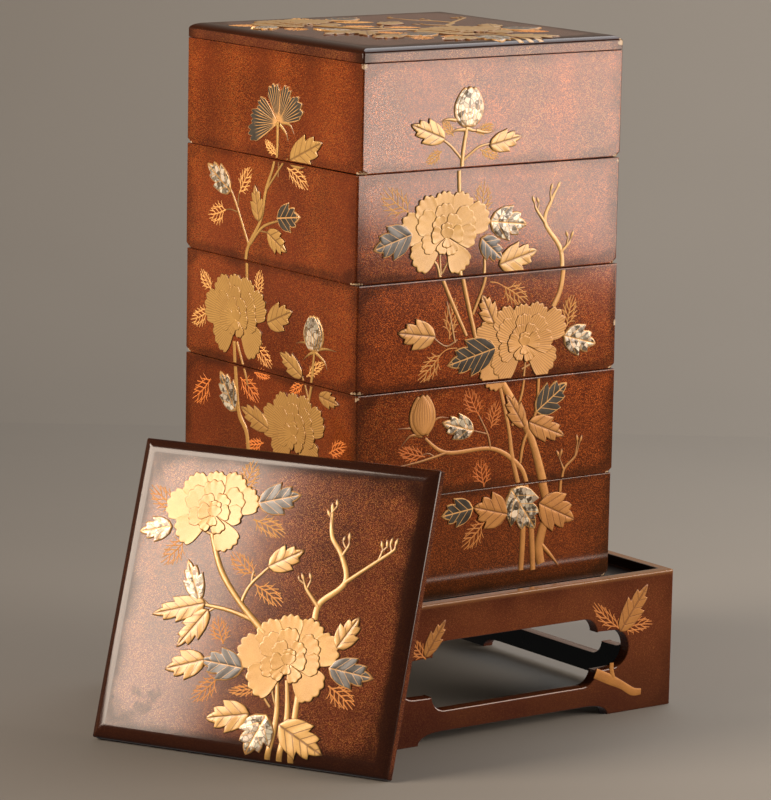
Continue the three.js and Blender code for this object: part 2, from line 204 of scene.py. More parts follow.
# Ground, deep ground and flakes of each lacquer
RED_TONES = (rgb(0.110, 0.018, 0.004), rgb(0.165, 0.027, 0.006), rgb(0.86, 0.190, 0.026))
BROWN_TONES = (rgb(0.070, 0.016, 0.007), rgb(0.110, 0.023, 0.009), rgb(0.45, 0.138, 0.041))
STAND_TONES = (rgb(0.110, 0.023, 0.009), rgb(0.150, 0.040, 0.013), rgb(0.45, 0.138, 0.041))
# The colour the borders darken to: partly the lacquer's own darker edges, partly painted shade
DARK = rgb(0.030, 0.009, 0.004)
# The next two: painted shade on the lower boxes
OLIVE = rgb(0.070, 0.042, 0.017)
DARK_OLIVE = rgb(0.028, 0.016, 0.009)
# Painted shade at the stand's foot
FOOT_SHADE = rgb(0.020, 0.007, 0.004)
BARE_WOOD = rgb(0.62, 0.44, 0.27)
GOLD_FLAKE = rgb(0.62, 0.26, 0.05)
# The stand's gold rim, with a painted highlight
RIM_GOLD_AND_SHEEN = rgb(0.42, 0.20, 0.07)
GOLDS = (rgb(0.535, 0.278, 0.060), rgb(0.66, 0.372, 0.088))
GOLD_GRAIN = rgb(0.80, 0.50, 0.17)
FLAKES = 1900
FACETS = 260


def speckled_lacquer(name, tones, dark_border, flecks=1.0, coat=1.0, old=False, rim_sheen_and_foot_shade=False,
                     spots=(), chips=()):
    """Clear red-brown lacquer over fine gold and orange flakes, darker towards its borders, partly its own
    darker edges and partly painted shade; painted shade darkens the lower boxes more, and the stand gets a
    painted highlight along its gold rim and painted shade at its foot.
    """
    ground, deep, glow = tones
    finish = Finish(name)
    distance, colour = finish.cells(FLAKES)
    fleck = finish.between(distance, 0.62, 0.20)
    chosen = finish.between(finish.part(colour, 0), 0.20, 0.70)
    density = finish.between(finish.cloud(55, 3), 0.3, 0.7, 0.65 * flecks, flecks)
    share = finish.times(finish.times(fleck, chosen), density)
    border = finish.mark("border")
    # Darker towards the borders: partly the lacquer's own darker edges, partly painted shade
    shade = finish.between(finish.uneven(border, -0.18, 0.12, 40), 0.35, 1.15, 0.0, dark_border)
    height = finish.height()
    # Painted shade: the borders darker on the lower boxes, lighter on the upper ones
    if old:
        shade = finish.times(shade, finish.between(height, 0.30, 0.42, 1.15, 0.6))
    for centre, size, ragged, depth in spots:
        off = finish.uneven(finish.off(centre), -ragged, ragged, 90, 3)
        shade = finish.most(shade, finish.between(off, size * 0.4, size, depth, 0.0))
    share = finish.times(share, finish.sum("SUBTRACT", 1.0, shade))
    body = finish.mix(finish.between(finish.cloud(14), 0.35, 0.65), ground, deep)
    body = finish.mix(shade, body, DARK)
    flake = finish.mix(finish.between(finish.part(colour, 1), 0.50, 1.0), glow, GOLD_FLAKE)
    painted = finish.mix(share, body, flake)
    worn = finish.between(finish.cloud(620), 0.35, 0.65, -0.5, 0.3)
    bare = finish.between(finish.sum("ADD", finish.mark("worn"), worn), 0.6, 0.8)
    for centre, size in chips:
        off = finish.uneven(finish.off(centre), -0.001, 0.001, 400)
        bare = finish.most(bare, finish.between(off, size * 0.6, size, 1.0, 0.0))
    # Painted shade: the lower boxes darker and more olive, darkest low on the bottom box just above the
    # stand's rim
    if old:
        painted = finish.mix(finish.between(height, 0.10, 0.30, 0.30, 0.0), painted, OLIVE)
        painted = finish.mix(finish.between(height, 0.102, 0.120, 0.45, 0.0), painted, DARK_OLIVE)
    # A gold rim with a painted highlight along the stand's top, and painted shade towards its foot
    if rim_sheen_and_foot_shade:
        top = STAND_HEIGHT * MM
        painted = finish.mix(finish.between(height, top - 0.004, top, 0.0, 0.6), painted, RIM_GOLD_AND_SHEEN)
        painted = finish.mix(finish.between(height, 0.0, 0.07, 0.5, 0.0), painted, FOOT_SHADE)
    painted = finish.mix(bare, painted, BARE_WOOD)
    glint = finish.times(share, finish.sum("SUBTRACT", 0.5, finish.times(bare, 0.5)))
    gloss = finish.between(shade, 0.0, 1.0, coat, coat * 0.6, smooth=False)
    gloss = finish.most(gloss, finish.between(border, 1.0, 1.15, 0.0, coat))
    finish.set(Base_Color=painted, Metallic=glint, Roughness=0.36, Coat_Weight=gloss)
    finish.set(Coat_Roughness=0.11, Specular_IOR_Level=0.0)
    finish.raise_by(distance, 0.00004, 0.15)
    return finish.material


def black_lacquer():
    finish = Finish("black_lacquer")
    tint = finish.mix(finish.cloud(30, 4), rgb(0.005, 0.0035, 0.0025), rgb(0.012, 0.008, 0.006))
    dust = finish.between(finish.cloud(900, 1), 0.62, 0.75, 0.0, 0.25)
    finish.set(Base_Color=finish.mix(dust, tint, rgb(0.05, 0.035, 0.025)), Coat_Weight=0.3)
    finish.set(Specular_IOR_Level=0.15)
    finish.set(Roughness=finish.between(finish.cloud(18), 0.3, 0.7, 0.22, 0.34), Coat_Roughness=0.12)
    return finish.material


def off_line(finish, value, pitch):
    """How far a value lies from the nearest of many even lines, in steps."""
    turn = finish.sum("FRACT", finish.sum("DIVIDE", value, pitch))
    return finish.sum("ABSOLUTE", finish.sum("SUBTRACT", turn, 0.5))


def ribs(finish, pitch, slant, width):
    """Lines on a leaf: its middle rib and slanting side ribs, from its own measure in millimetres."""
    side = finish.sum("ABSOLUTE", finish.mark("across"))
    middle = finish.between(side, width * 0.5, width * 1.1, 1.0, 0.0)
    run = finish.sum("SUBTRACT", finish.mark("along"), finish.times(side, slant))
    off = finish.times(off_line(finish, run, pitch), pitch)
    return finish.most(middle, finish.between(off, width * 0.35, width * 0.8, 0.9, 0.0))


def fine_lines(finish, pitch, low, high):
    """Lines that run out from a petal's foot, evenly spread across it."""
    return finish.between(off_line(finish, finish.mark("across"), pitch), low, high, 1.0, 0.0)


def gold_finish(finish, lines, plain_share, cut_share):
    """Gold powder in two near tones, its engraved lines browner, darker near its outline from a drawn brown
    line and painted shade, deeper cut on some petals, dimmed by painted shade on the lower boxes.
    """
    tone = finish.mark("tone")
    painted_dimming = finish.mark("painted_dimming")
    gold = finish.mix(finish.between(finish.uneven(tone, -0.3, 0.3, 90, 3), 0.0, 1.0), *GOLDS)
    gold = finish.mix(finish.between(finish.cloud(2200, 1), 0.3, 0.7, 0.0, 0.4), gold, GOLD_GRAIN)
    # Painted shade: the gold dimmed on the lower boxes
    gold = finish.mix(painted_dimming, gold, rgb(0.75, 0.55, 0.38), "MULTIPLY")
    # Darker near each figure's outline: a drawn brown line and painted shade where the figure meets the face
    # or a petal goes under the next
    outline_and_edge_shade = finish.between(finish.mark("rim"), 0.10, 0.85, 0.95, 0.0)
    depth = finish.between(tone, 0.45, 0.65, plain_share, cut_share)
    cut = finish.most(finish.times(lines, depth), outline_and_edge_shade)
    colour = finish.mix(cut, gold, rgb(0.15, 0.045, 0.010))
    coat = finish.between(painted_dimming, 0.0, 1.0, 0.6, 0.12)
    finish.set(Base_Color=colour, Metallic=0.34, Roughness=0.48, Coat_Weight=coat, Coat_Roughness=0.2)
    finish.set(Coat_IOR=1.65)


def gold_leaf():
    finish = Finish("gold_leaf")
    lines = ribs(finish, 7.0, 0.9, 0.75)
    gold_finish(finish, lines, 0.55, 0.7)
    finish.raise_by(lines, -0.0002, 0.7)
    return finish.material


def gold_petal():
    finish = Finish("gold_petal")
    away = finish.between(finish.mark("along"), 4, 14)
    lines = finish.times(fine_lines(finish, 2.3, 0.08, 0.26), away)
    gold_finish(finish, lines, 0.0, 0.42)
    cut = finish.times(lines, finish.between(finish.mark("tone"), 0.45, 0.65))
    finish.raise_by(cut, -0.00008, 0.5)
    return finish.material


def gold_stem():
    finish = Finish("gold_stem")
    gold_finish(finish, finish.between(finish.cloud(260, 2), 0.60, 0.72, 0.0, 0.3), 0.4, 0.4)
    finish.raise_by(finish.cloud(500, 2), 0.0001, 0.5)
    return finish.material


def painted_line():
    """Thin painted lines, from gold to orange-red by the tone of each leaf, dimmed by painted shade on the
    lower boxes.
    """
    finish = Finish("painted_line")
    colour = finish.mix(finish.mark("tone"), rgb(1.0, 0.58, 0.19), rgb(1.0, 0.27, 0.05))
    # Painted shade: the lines dimmed on the lower boxes
    colour = finish.mix(finish.mark("painted_dimming"), colour, rgb(0.72, 0.60, 0.48), "MULTIPLY")
    worn = finish.between(finish.cloud(700, 2), 0.35, 0.65, 0.0, 0.35)
    finish.set(Base_Color=finish.mix(worn, colour, rgb(0.50, 0.21, 0.06)), Roughness=0.5)
    finish.set(Specular_IOR_Level=0.2)
    return finish.material


def silver_leaf(name, pitch, radial=False):
    """Dark tarnished silver, its outline and ribs drawn in gold, its coat lowered on the lower boxes with
    the painted shade.
    """
    finish = Finish(name)
    if radial:
        along = finish.mark("along")
        lines = finish.times(fine_lines(finish, pitch, 0.07, 0.17), finish.between(along, 22, 31, 1.0, 0.0))
        lines = finish.most(lines, finish.between(along, 4, 9, 1.0, 0.0))
    else:
        lines = ribs(finish, pitch, 1.0, 0.55)
    lines = finish.most(lines, finish.between(finish.mark("rim"), 0.7, 1.05, 1.0, 0.0))
    cloudy = finish.between(finish.cloud(120, 3), 0.3, 0.7)
    grey = finish.mix(cloudy, rgb(0.040, 0.032, 0.022), rgb(0.078, 0.063, 0.045))
    coat = finish.between(finish.mark("painted_dimming"), 0.0, 0.6, 0.95, 0.1)
    finish.set(Base_Color=finish.mix(lines, grey, rgb(0.82, 0.44, 0.15)), Coat_Weight=coat)
    finish.set(Coat_Roughness=0.3, Roughness=0.45, Coat_IOR=1.65, Specular_IOR_Level=0.1)
    finish.raise_by(lines, 0.0002, 0.6)
    return finish.material


def shell_leaf(name, radial=False):
    """Cut shell in small pale facets that shift between white, green and rose, with painted glints and gold
    ribs, dimmed by painted shade on the lower boxes.
    """
    finish = Finish(name)
    colour = finish.cells(FACETS)[1]
    facet = finish.between(finish.part(colour, 0), 0.1, 0.9)
    pale = finish.mix(facet, rgb(0.20, 0.145, 0.09), rgb(0.90, 0.78, 0.62))
    tint = finish.mix(finish.part(colour, 1), rgb(0.80, 0.95, 0.84), rgb(1.0, 0.84, 0.78))
    pale = finish.mix(0.5, pale, tint, "MULTIPLY")
    sizes = {"Vector": finish.place(), "Scale": FACETS}
    edge = finish.node("ShaderNodeTexVoronoi", sizes, feature="DISTANCE_TO_EDGE").outputs["Distance"]
    pale = finish.mix(finish.between(edge, 0.02, 0.09, 0.75, 0.0), pale, rgb(0.09, 0.055, 0.03))
    # Painted glints: small near-white specks
    painted_glint = finish.between(finish.part(finish.cells(900)[1], 1), 0.84, 0.93, 0.0, 0.6)
    pale = finish.mix(painted_glint, pale, rgb(0.95, 0.90, 0.80))
    # Painted shade: the shell dimmed on the lower boxes
    pale = finish.mix(finish.mark("painted_dimming"), pale, rgb(0.66, 0.62, 0.56), "MULTIPLY")
    lines = ribs(finish, 8.0, 0.9, 0.75)
    if radial:
        foot = finish.between(finish.mark("along"), 9, 20, 1.0, 0.0)
        lines = finish.times(fine_lines(finish, 3.0, 0.08, 0.20), foot)
    lines = finish.most(lines, finish.between(finish.mark("rim"), 0.8, 1.2, 1.0, 0.0))
    finish.set(Base_Color=finish.mix(lines, pale, rgb(0.66, 0.36, 0.12)), Metallic=0.25)
    finish.set(Roughness=finish.between(facet, 0.0, 1.0, 0.25, 0.45), Coat_Weight=0.5, Coat_Roughness=0.1)
    tilt = finish.vector("SUBTRACT", colour, (0.5, 0.5, 0.5))[0]
    tilt = finish.vector("MULTIPLY", tilt, (0.22, 0.22, 0.22))[0]
    normal = finish.node("ShaderNodeNewGeometry").outputs["Normal"]
    finish.set(Normal=finish.vector("NORMALIZE", finish.vector("ADD", normal, tilt)[0])[0])
    return finish.material


def spot_on(piece, *place):
    return tuple(PLACES[piece] @ Vector(place) * MM)


SMUDGE = (spot_on("spare_lid", -74, -82, 10.5), 0.011, 0.012, 0.5)
# A small dark dot in the spare lid's colour
DARK_DOT = (spot_on("spare_lid", -103, -78, 10.5), 0.0016, 0.0003, 0.9)
CHIPS = (
    (spot_on("tier_3", 115, -107.5, 33), 0.0022), (spot_on("tier_1", -113.5, -107.5, 75), 0.0026),
    (spot_on("tier_2", 115, -107.5, 74), 0.0018), (spot_on("tier_4", -115, -107.5, 74), 0.0020),
)
LID_CHIPS = ((spot_on("lid", 113, -107.5, 5), 0.0030),)

FINISHES = {
    "box": speckled_lacquer("box_lacquer", RED_TONES, 0.60, old=True, chips=CHIPS),
    "lid": speckled_lacquer("lid_lacquer", BROWN_TONES, 0.92, flecks=0.85, coat=0.82, chips=LID_CHIPS),
    "spare_lid": speckled_lacquer("spare_lid_lacquer", BROWN_TONES, 0.92, coat=0.82, spots=(SMUDGE, DARK_DOT)),
    "stand": speckled_lacquer("stand_lacquer", STAND_TONES, 0.35, flecks=0.45, rim_sheen_and_foot_shade=True),
    "black": black_lacquer(),
    "gold_leaf": gold_leaf(),
    "gold_petal": gold_petal(),
    "gold_stem": gold_stem(),
    "line": painted_line(),
    "silver_leaf": silver_leaf("silver_leaf", 6.6),
    "silver_petal": silver_leaf("silver_petal", 3.2, radial=True),
    "shell_leaf": shell_leaf("shell_leaf"),
    "shell_petal": shell_leaf("shell_petal", radial=True),
}
SLOTS = {
    "gold_relief": ("gold_leaf", "gold_petal", "gold_stem", "line"),
    "silver_relief": ("silver_leaf", "silver_petal"),
    "shell_inlay": ("shell_leaf", "shell_petal"),
}
MARKS = ("along", "across", "rim", "tone")


# Turned-up bodies: rounded rectangles stacked through a profile

def corner_points(half_x, half_y, radius, steps=5, support=0.5, border=18):
    """One ring of a rectangle with rounded corners, with spare points that keep its flats flat."""
    ring = []
    marks = []
    for quarter in range(4):
        x = (1, -1, -1, 1)[quarter] * (half_x - radius)
        y = (1, 1, -1, -1)[quarter] * (half_y - radius)
        start = quarter * pi / 2
        arc = [start + pi / 2 * i / steps for i in range(steps + 1)]
        points = [(x + radius * cos(a), y + radius * sin(a)) for a in arc]
        back = (sin(start), -cos(start))
        ahead = (-sin(start + pi / 2), cos(start + pi / 2))
        first, last = points[0], points[-1]
        ring += [(first[0] + back[0] * off, first[1] + back[1] * off) for off in (border, support)]
        ring += points
        ring += [(last[0] + ahead[0] * off, last[1] + ahead[1] * off) for off in (support, border)]
        marks += [0.0, 1.0] + [1.0] * len(points) + [1.0, 0.0]
    return ring, marks


def filleted(profile, steps=3, support=0.4):
    """Rounds the corners of a profile of (inset, height, corner radius, fillet, border mark)."""
    out = []
    for i, (inset, z, radius, fillet, border) in enumerate(profile):
        if fillet <= 0 or i in (0, len(profile) - 1):
            out.append((inset, z, radius, border))
            continue
        here = Vector((inset, z))
        before, after = (Vector(profile[k][:2]) - here for k in (i - 1, i + 1))
        reach = min(fillet, before.length * 0.45, after.length * 0.45)
        start, end = (here + way.normalized() * reach for way in (before, after))
        shares = [k / steps for k in range(steps + 1)]
        spots = [start * (1 - t) ** 2 + here * 2 * t * (1 - t) + end * t ** 2 for t in shares]
        if before.length > 3 * reach + support:
            spots.insert(0, here + before.normalized() * (reach + support))
        if after.length > 3 * reach + support:
            spots.append(here + after.normalized() * (reach + support))
        out += [(spot.x, spot.y, radius, border) for spot in spots]
    return out


def turned_body(width, depth, profile, worn_below=None):
    """(points, faces, marks) of the closed body that the profile makes, from its first ring to its last."""
    points, border, worn, faces = [], [], [], []
    count = 0
    for inset, z, radius, edge in profile:
        room = min(width, depth) / 2 - inset - radius - 1
        ring, marks = corner_points(width / 2 - inset, depth / 2 - inset, radius, border=min(18, room))
        count = len(ring)
        points += [(x, y, z) for x, y in ring]
        border += [max(edge, m) if edge >= 0 else 0.0 for m in marks]
        on_corner = worn_below is not None and z < worn_below and 0 <= inset < 1
        worn += [float(on_corner and 2 <= i % 10 <= 7) for i in range(count)]
    for level in range(len(profile) - 1):
        low = level * count
        for i in range(count):
            j = (i + 1) % count
            faces.append((low + i, low + j, low + count + j, low + count + i))
    top = (len(profile) - 1) * count
    faces.append(tuple(range(count))[::-1])
    faces.append(tuple(range(top, top + count)))
    return points, faces, {"border": border, "worn": worn}


TIER_PROFILE = filleted([
    (16, 0, 1, 0, -1), (SEAT_IN, 0, 1, 0, -1), (SEAT_IN, -SEAT_DEPTH, 1, 0.4, -1),
    (SEAT_OUT, -SEAT_DEPTH, 1, 0.4, -1), (SEAT_OUT, 0, 1, 0, -1), (0, 0, WORN_CORNER, EDGE, 1),
    (0, WORN_HEIGHT, CORNER, 0, 1), (0, 12, CORNER, 0, 0), (0, 64, CORNER, 0, 0),
    (0, TIER_HEIGHT, CORNER, EDGE, 1), (WALL, TIER_HEIGHT, CORNER, 0.4, -1), (WALL, FLOOR, 0.8, 0.6, -1),
    (WALL + 4, FLOOR, 0.8, 0, -1),
])


def lid_height(inset):
    """Height of a lid's outer face at a distance in from its edge."""
    if inset >= BEVEL_WIDTH:
        return LID_SIDE + BEVEL_RISE
    return LID_SIDE + BEVEL_RISE * sqrt(max(0, 1 - (1 - max(inset, 0) / BEVEL_WIDTH) ** 2))


def lid_profile():
    profile = [(16, LID_UNDERSIDE, 1, 0, -1), (SEAT_IN, LID_UNDERSIDE, 1, 0, -1),
               (SEAT_IN, -LID_SEAT, 1, 0.4, -1), (SEAT_OUT, -LID_SEAT, 1, 0.4, -1), (SEAT_OUT, 0, 1, 0, -1),
               (0, 0, CORNER, 0.4, 0.3)]
    out = filleted(profile + [(0, LID_SIDE, CORNER, 0, 0.4)])
    for i in range(1, 11):
        turn = i / 10 * pi / 2
        inset = BEVEL_WIDTH * (1 - cos(turn))
        out.append((inset, LID_SIDE + BEVEL_RISE * sin(turn), CORNER, 1.2))
    top = LID_SIDE + BEVEL_RISE
    out += [(BEVEL_WIDTH + 0.6, top, CORNER, 1.0), (BEVEL_WIDTH + 5, top, CORNER, 0.6)]
    out += [(BEVEL_WIDTH + 20, top, CORNER, -1), (90, top, CORNER, -1)]
    return out


def linked(name, data):
    """A new object of the scene that holds the given data."""
    piece = bpy.data.objects.new(name, data)
    bpy.context.scene.collection.objects.link(piece)
    return piece


def settled(piece):
    """A piece's mesh with its modifiers applied."""
    graph = bpy.context.evaluated_depsgraph_get()
    return bpy.data.meshes.new_from_object(piece.evaluated_get(graph))


def plain_mesh(name, points, faces, marks, materials, material_of=None, place=None, sharp=32):
    """A smooth-shaded mesh object, placed in metres, with one number a point for each mark."""
    spots = np.array(points, float)
    if place is not None:
        matrix = np.array(place)
        spots = spots @ matrix[:3, :3].T + matrix[:3, 3]
    mesh = bpy.data.meshes.new(name)
    mesh.from_pydata((spots * MM).tolist(), [], faces)
    for key, values in marks.items():
        attribute = mesh.attributes.new(key, "FLOAT", "POINT")
        attribute.data.foreach_set("value", np.array(values, np.float32))
    for material in materials:
        mesh.materials.append(material)
    if material_of is not None:
        mesh.polygons.foreach_set("material_index", np.array(material_of, np.int32))
    mesh.validate()
    mesh.shade_smooth()
    mesh.set_sharp_from_angle(angle=radians(sharp))
    return linked(name, mesh)


def make_body(name, finish, profile, is_inside, worn_below=None):
    """The body of a box or lid, its inner faces black."""
    points, faces, marks = turned_body(BOX_WIDTH, BOX_DEPTH, profile, worn_below)
    spots = np.array(points)
    inside = [int(is_inside(spots[list(face)])) for face in faces]
    return plain_mesh(f"{name}_body", points, faces, marks, [FINISHES[finish], FINISHES["black"]], inside,
                      PLACES[name])


def make_tier(name):
    def is_inside(corners):
        middle = np.abs(corners.mean(0))
        return max(middle[0] - BOX_WIDTH / 2, middle[1] - BOX_DEPTH / 2) < -2.5

    return make_body(name, "box", TIER_PROFILE, is_inside, WORN_HEIGHT - 0.1)


def make_lid(name):
    def is_beneath(corners):
        out_x, out_y = np.abs(corners[:, :2]).max(0)
        return corners[:, 2].mean() < 5.2 and out_x < BOX_WIDTH / 2 - 1 and out_y < BOX_DEPTH / 2 - 1

    return make_body(name, name, lid_profile(), is_beneath)


# The stand: a turned body whose walls are cut through

def arc_points(x, y, radius, first, last, steps):
    angles = [radians(first + (last - first) * i / steps) for i in range(steps + 1)]
    return [(x + radius * cos(a), y + radius * sin(a)) for a in angles]


def mirrored(right):
    return right + [(-x, z) for x, z in reversed(right)]


def slot_outline(length):
    """A tall middle slot that steps to a low round lobe at each end."""
    half = length / 2
    right = arc_points(half - SLOT_END, SLOT_LOW, SLOT_ROUND, 270, 355, 8) + [(half - NECK, NECK_LOW)]
    right += arc_points(half - LOBE, LOBE_HEIGHT, LOBE_ROUND, 270, 450, 18) + [(half - NECK, NECK_HIGH)]
    return mirrored(right + arc_points(half - SLOT_END, SLOT_HIGH, SLOT_ROUND, 5, 90, 8))


def apron_outline(length):
    """The low cut between a wall's two feet, its ends curving up from the floor."""
    foot = length / 2 - FOOT
    curve = [(foot - FOOT_CURVE * (i / 8) ** 2, APRON_RISE * sin(i / 8 * pi / 2))
             for i in range(1, 9)]
    return mirrored([(foot, -APRON_RISE), (foot, 0)] + curve)


def cutter(outline, turned):
    """A long bar of that outline, through the stand from front to back or from side to side."""
    reach = 200
    points = [(x, -reach, z) for x, z in outline] + [(x, reach, z) for x, z in outline]
    if turned:
        points = [(-y, x, z) for x, y, z in points]
    count = len(outline)
    faces = [tuple(range(count)), tuple(range(2 * count - 1, count - 1, -1))]
    faces += [(i, i + count, (i + 1) % count + count, (i + 1) % count) for i in range(count)]
    return plain_mesh("cutter", points, faces, {}, [])


# In metres: welding, the rounding of the cuts, how near counts as on a face, and the deepest outer face
WELD = 0.00002
CUT_EDGE = 0.0008
NEAR = 0.0002
WALL_SKIN = 0.0075
SMALL_FACE = 0.0012
STAND_PROFILE = filleted([
    (STAND_WALL + 4, SHELF_UNDER, 1, 0, -1), (STAND_WALL, SHELF_UNDER, 1, 0, -1),
    (STAND_WALL, 0, 1, 0.6, -1), (0, 0, 2, 0.6, 1), (0, 12, 2, 0, 0.3), (0, 80, 2, 0, 0.3),
    (0, STAND_HEIGHT, 2, 1.2, 1), (STAND_WALL, STAND_HEIGHT, 1, 0.8, -1),
    (STAND_WALL, SHELF_TOP, 1, 0.6, -1), (STAND_WALL + 4, SHELF_TOP, 1, 0, -1),
])


def stand_cutters():
    """Bars for the slots and the cuts between the feet, and a block for the shelf's socket."""
    cutters = []
    for length, turned in ((STAND_WIDTH, False), (STAND_DEPTH, True)):
        cutters += [cutter(slot_outline(length), turned), cutter(apron_outline(length), turned)]
    socket = [(0, SOCKET_FLOOR, 0.5, 0), (0, SOCKET_TOP, 0.5, 0)]
    points, faces, _ = turned_body(SOCKET_WIDTH, SOCKET_DEPTH, socket)
    points = [(x - SOCKET_SHIFT, y + SOCKET_SHIFT, z) for x, y, z in points]
    return cutters + [plain_mesh("cutter", points, faces, {}, [])]


def make_stand():
    """The stand's walls and shelf, cut through and with the cuts' outer edges rounded."""
    points, faces, marks = turned_body(STAND_WIDTH, STAND_DEPTH, STAND_PROFILE)
    body = plain_mesh("stand_body", points, faces, marks, [FINISHES["stand"], FINISHES["black"]])
    cutters = stand_cutters()
    for tool in cutters:
        cut = body.modifiers.new("cut", "BOOLEAN")
        cut.operation, cut.solver, cut.object = "DIFFERENCE", "EXACT", tool
    mesh = settled(body)
    body.modifiers.clear()
    body.data = mesh
    for tool in cutters:
        bpy.data.objects.remove(tool)
    work = bmesh.new()
    work.from_mesh(mesh)
    bmesh.ops.remove_doubles(work, verts=work.verts, dist=WELD)
    bmesh.ops.dissolve_degenerate(work, edges=work.edges, dist=WELD / 2)
    width, depth = STAND_WIDTH / 2 * MM, STAND_DEPTH / 2 * MM
    outer = []
    for edge in work.edges:
        if len(edge.link_faces) != 2 or edge.calc_face_angle(0) < radians(50):
            continue
        spot = (edge.verts[0].co + edge.verts[1].co) / 2
        on_front = abs(abs(spot.y) - depth) < NEAR and abs(spot.x) < width - 0.02
        on_side = abs(abs(spot.x) - width) < NEAR and abs(spot.y) < depth - 0.02
        if on_front or on_side:
            outer.append(edge)
    bmesh.ops.bevel(work, geom=outer, offset=CUT_EDGE, segments=2, profile=0.5, affect="EDGES")
    for face in work.faces:
        spot = face.calc_center_median()
        inward = max(abs(spot.x) - width, abs(spot.y) - depth) < -WALL_SKIN
        face.material_index = int(inward or abs(spot.z - SHELF_TOP * MM) < 0.0005)
    work.transform(Matrix.Translation(PLACES["stand"].translation * MM))
    work.to_mesh(mesh)
    work.free()
    mesh.shade_smooth()
    mesh.set_sharp_from_angle(angle=radians(30))
    for face in mesh.polygons:
        face.use_smooth = face.area < SMALL_FACE
    return body


# Figures: small closed shells (points, marks, faces, finish) in millimetres on a sheet

def shell_of(grid, marks, finish, home):
    """Closes a grid of rows of points into a shell: the grid above and one flat face beneath."""
    rows, columns = grid.shape[:2]
    points = grid.reshape(-1, 3)
    index = np.arange(rows * columns).reshape(rows, columns)
    faces = []
    for i in range(rows - 1):
        for j in range(columns - 1):
            faces.append((index[i, j], index[i, j + 1], index[i + 1, j + 1], index[i + 1, j]))
    border = np.concatenate([index[0], index[1:, -1], index[-1, :-1][::-1], index[1:-1, 0][::-1]])
    faces.append(tuple(border[::-1]))
    faces = [tuple(int(k) for k in face) for face in faces]
    home.append((points, marks.reshape(-1, len(MARKS)), faces, finish))


EDGE_STEPS = [0.0, 0.04, 0.20, 0.45, 0.68, 0.84, 0.915, 0.955, 0.985, 1.0]
SIDE_STEPS = np.array([-s for s in EDGE_STEPS[:0:-1]] + EDGE_STEPS)
LEAF_KNOTS = ((-0.05, 0.10), (0.10, 0.62), (0.32, 0.90), (0.56, 1.0), (0.53, 0.60), (0.79, 0.62),
              (0.77, 0.36), (1.0, 0.0))
LEAF_BULGES = (0.10, 0.04, 0.0, 0.0, 0.06, 0.0, 0.06)
LEAF_STEPS = (4, 5, 6, 3, 6, 3, 7)


def domed(distance, edge=0.9):
    """Height share at a distance in millimetres from a figure's outline: steeply round, then level."""
    return np.sqrt(np.clip(1 - (1 - np.clip(distance / edge, 0, 1)) ** 2, 0, 1))


def blade(home, finish, foot, tip, feet, edges, half, rise, tone, slant_lines=True):
    """A figure about a middle line: each row runs from a point on that line to an edge on either side."""
    length = dist(foot, tip)
    side = SIDE_STEPS[None, :]
    reach = np.abs(side)
    along = feet[:, None] + (edges[:, 0] - feet)[:, None] * reach
    across = edges[:, 1][:, None] * side
    rim = np.minimum(edges[:, 1][:, None] * (1 - reach), (length - feet)[:, None] * 0.6)
    rim = np.minimum(rim, (feet - feet[0])[:, None] * 0.6)
    level = rise(along / length, reach, across) * domed(rim)
    inner = (reach < 1) & (rim > 0)
    z = np.where(inner, np.maximum(level, 0.02), UNDER_FACE)
    ux, uy = (tip[0] - foot[0]) / length, (tip[1] - foot[1]) / length
    grid = np.stack([foot[0] + along * ux - across * uy, foot[1] + along * uy + across * ux, z], -1)
    drawn_across = across if slant_lines else side * half + 0 * along
    marks = np.stack([along, drawn_across, rim, np.full_like(along, tone)], -1)
    shell_of(grid[:, ::-1], marks[:, ::-1], finish, home)


def leaf(home, finish, base_x, base_y, tip_x, tip_y, width, tone=0.5, height=RELIEF):
    """A lobed leaf, its side lobes pointing forwards, slightly domed about a sunk middle rib."""
    foot, tip = (base_x, base_y), (tip_x, tip_y)
    length = dist(foot, tip)
    half = width / 2
    edges, feet = [], []
    for k, (steps, bulge) in enumerate(zip(LEAF_STEPS, LEAF_BULGES)):
        (s0, w0), (s1, w1) = LEAF_KNOTS[k], LEAF_KNOTS[k + 1]
        for i in range(steps + (k == len(LEAF_STEPS) - 1)):
            t = i / steps
            share = s0 + (s1 - s0) * t
            side = w0 + (w1 - w0) * t + bulge * sin(pi * t)
            edges.append((share * length, side * half))
            feet.append(share * length - 0.5 * side * half)
    feet[-1] = length
    feet = np.maximum.accumulate(np.array(feet))

    def rise(share, reach, across):
        rib = np.exp(-(across / 0.5) ** 2)
        return height * (0.88 + 0.16 * (1 - reach ** 2) + 0.06 * np.cos(share * 20 - reach * 5) - 0.20 * rib)

    blade(home, finish, foot, tip, feet, np.array(edges), half, rise, tone)


def egg(home, finish, foot, tip, half, low, high, fullest=0.45):
    """A smooth oval petal of a bud, ribbed from its foot to its tip."""
    length = dist(foot, tip)
    share = (1 - np.cos(np.linspace(0, pi, 22))) / 2
    power = log(0.5) / log(fullest)
    widths = np.sin(pi * share ** power) ** 0.72
    edges = np.stack([share * length, widths * half], -1)

    def rise(along, reach, across):
        return RELIEF * (low + (high - low) * (1 - reach ** 2))

    blade(home, finish, foot, tip, share * length, edges, half, rise, 0.7, slant_lines=False)


PETAL_SIDES = np.concatenate([[-1.0, -0.985, -0.955], np.linspace(-0.91, 0.91, 29), [0.955, 0.985, 1.0]])


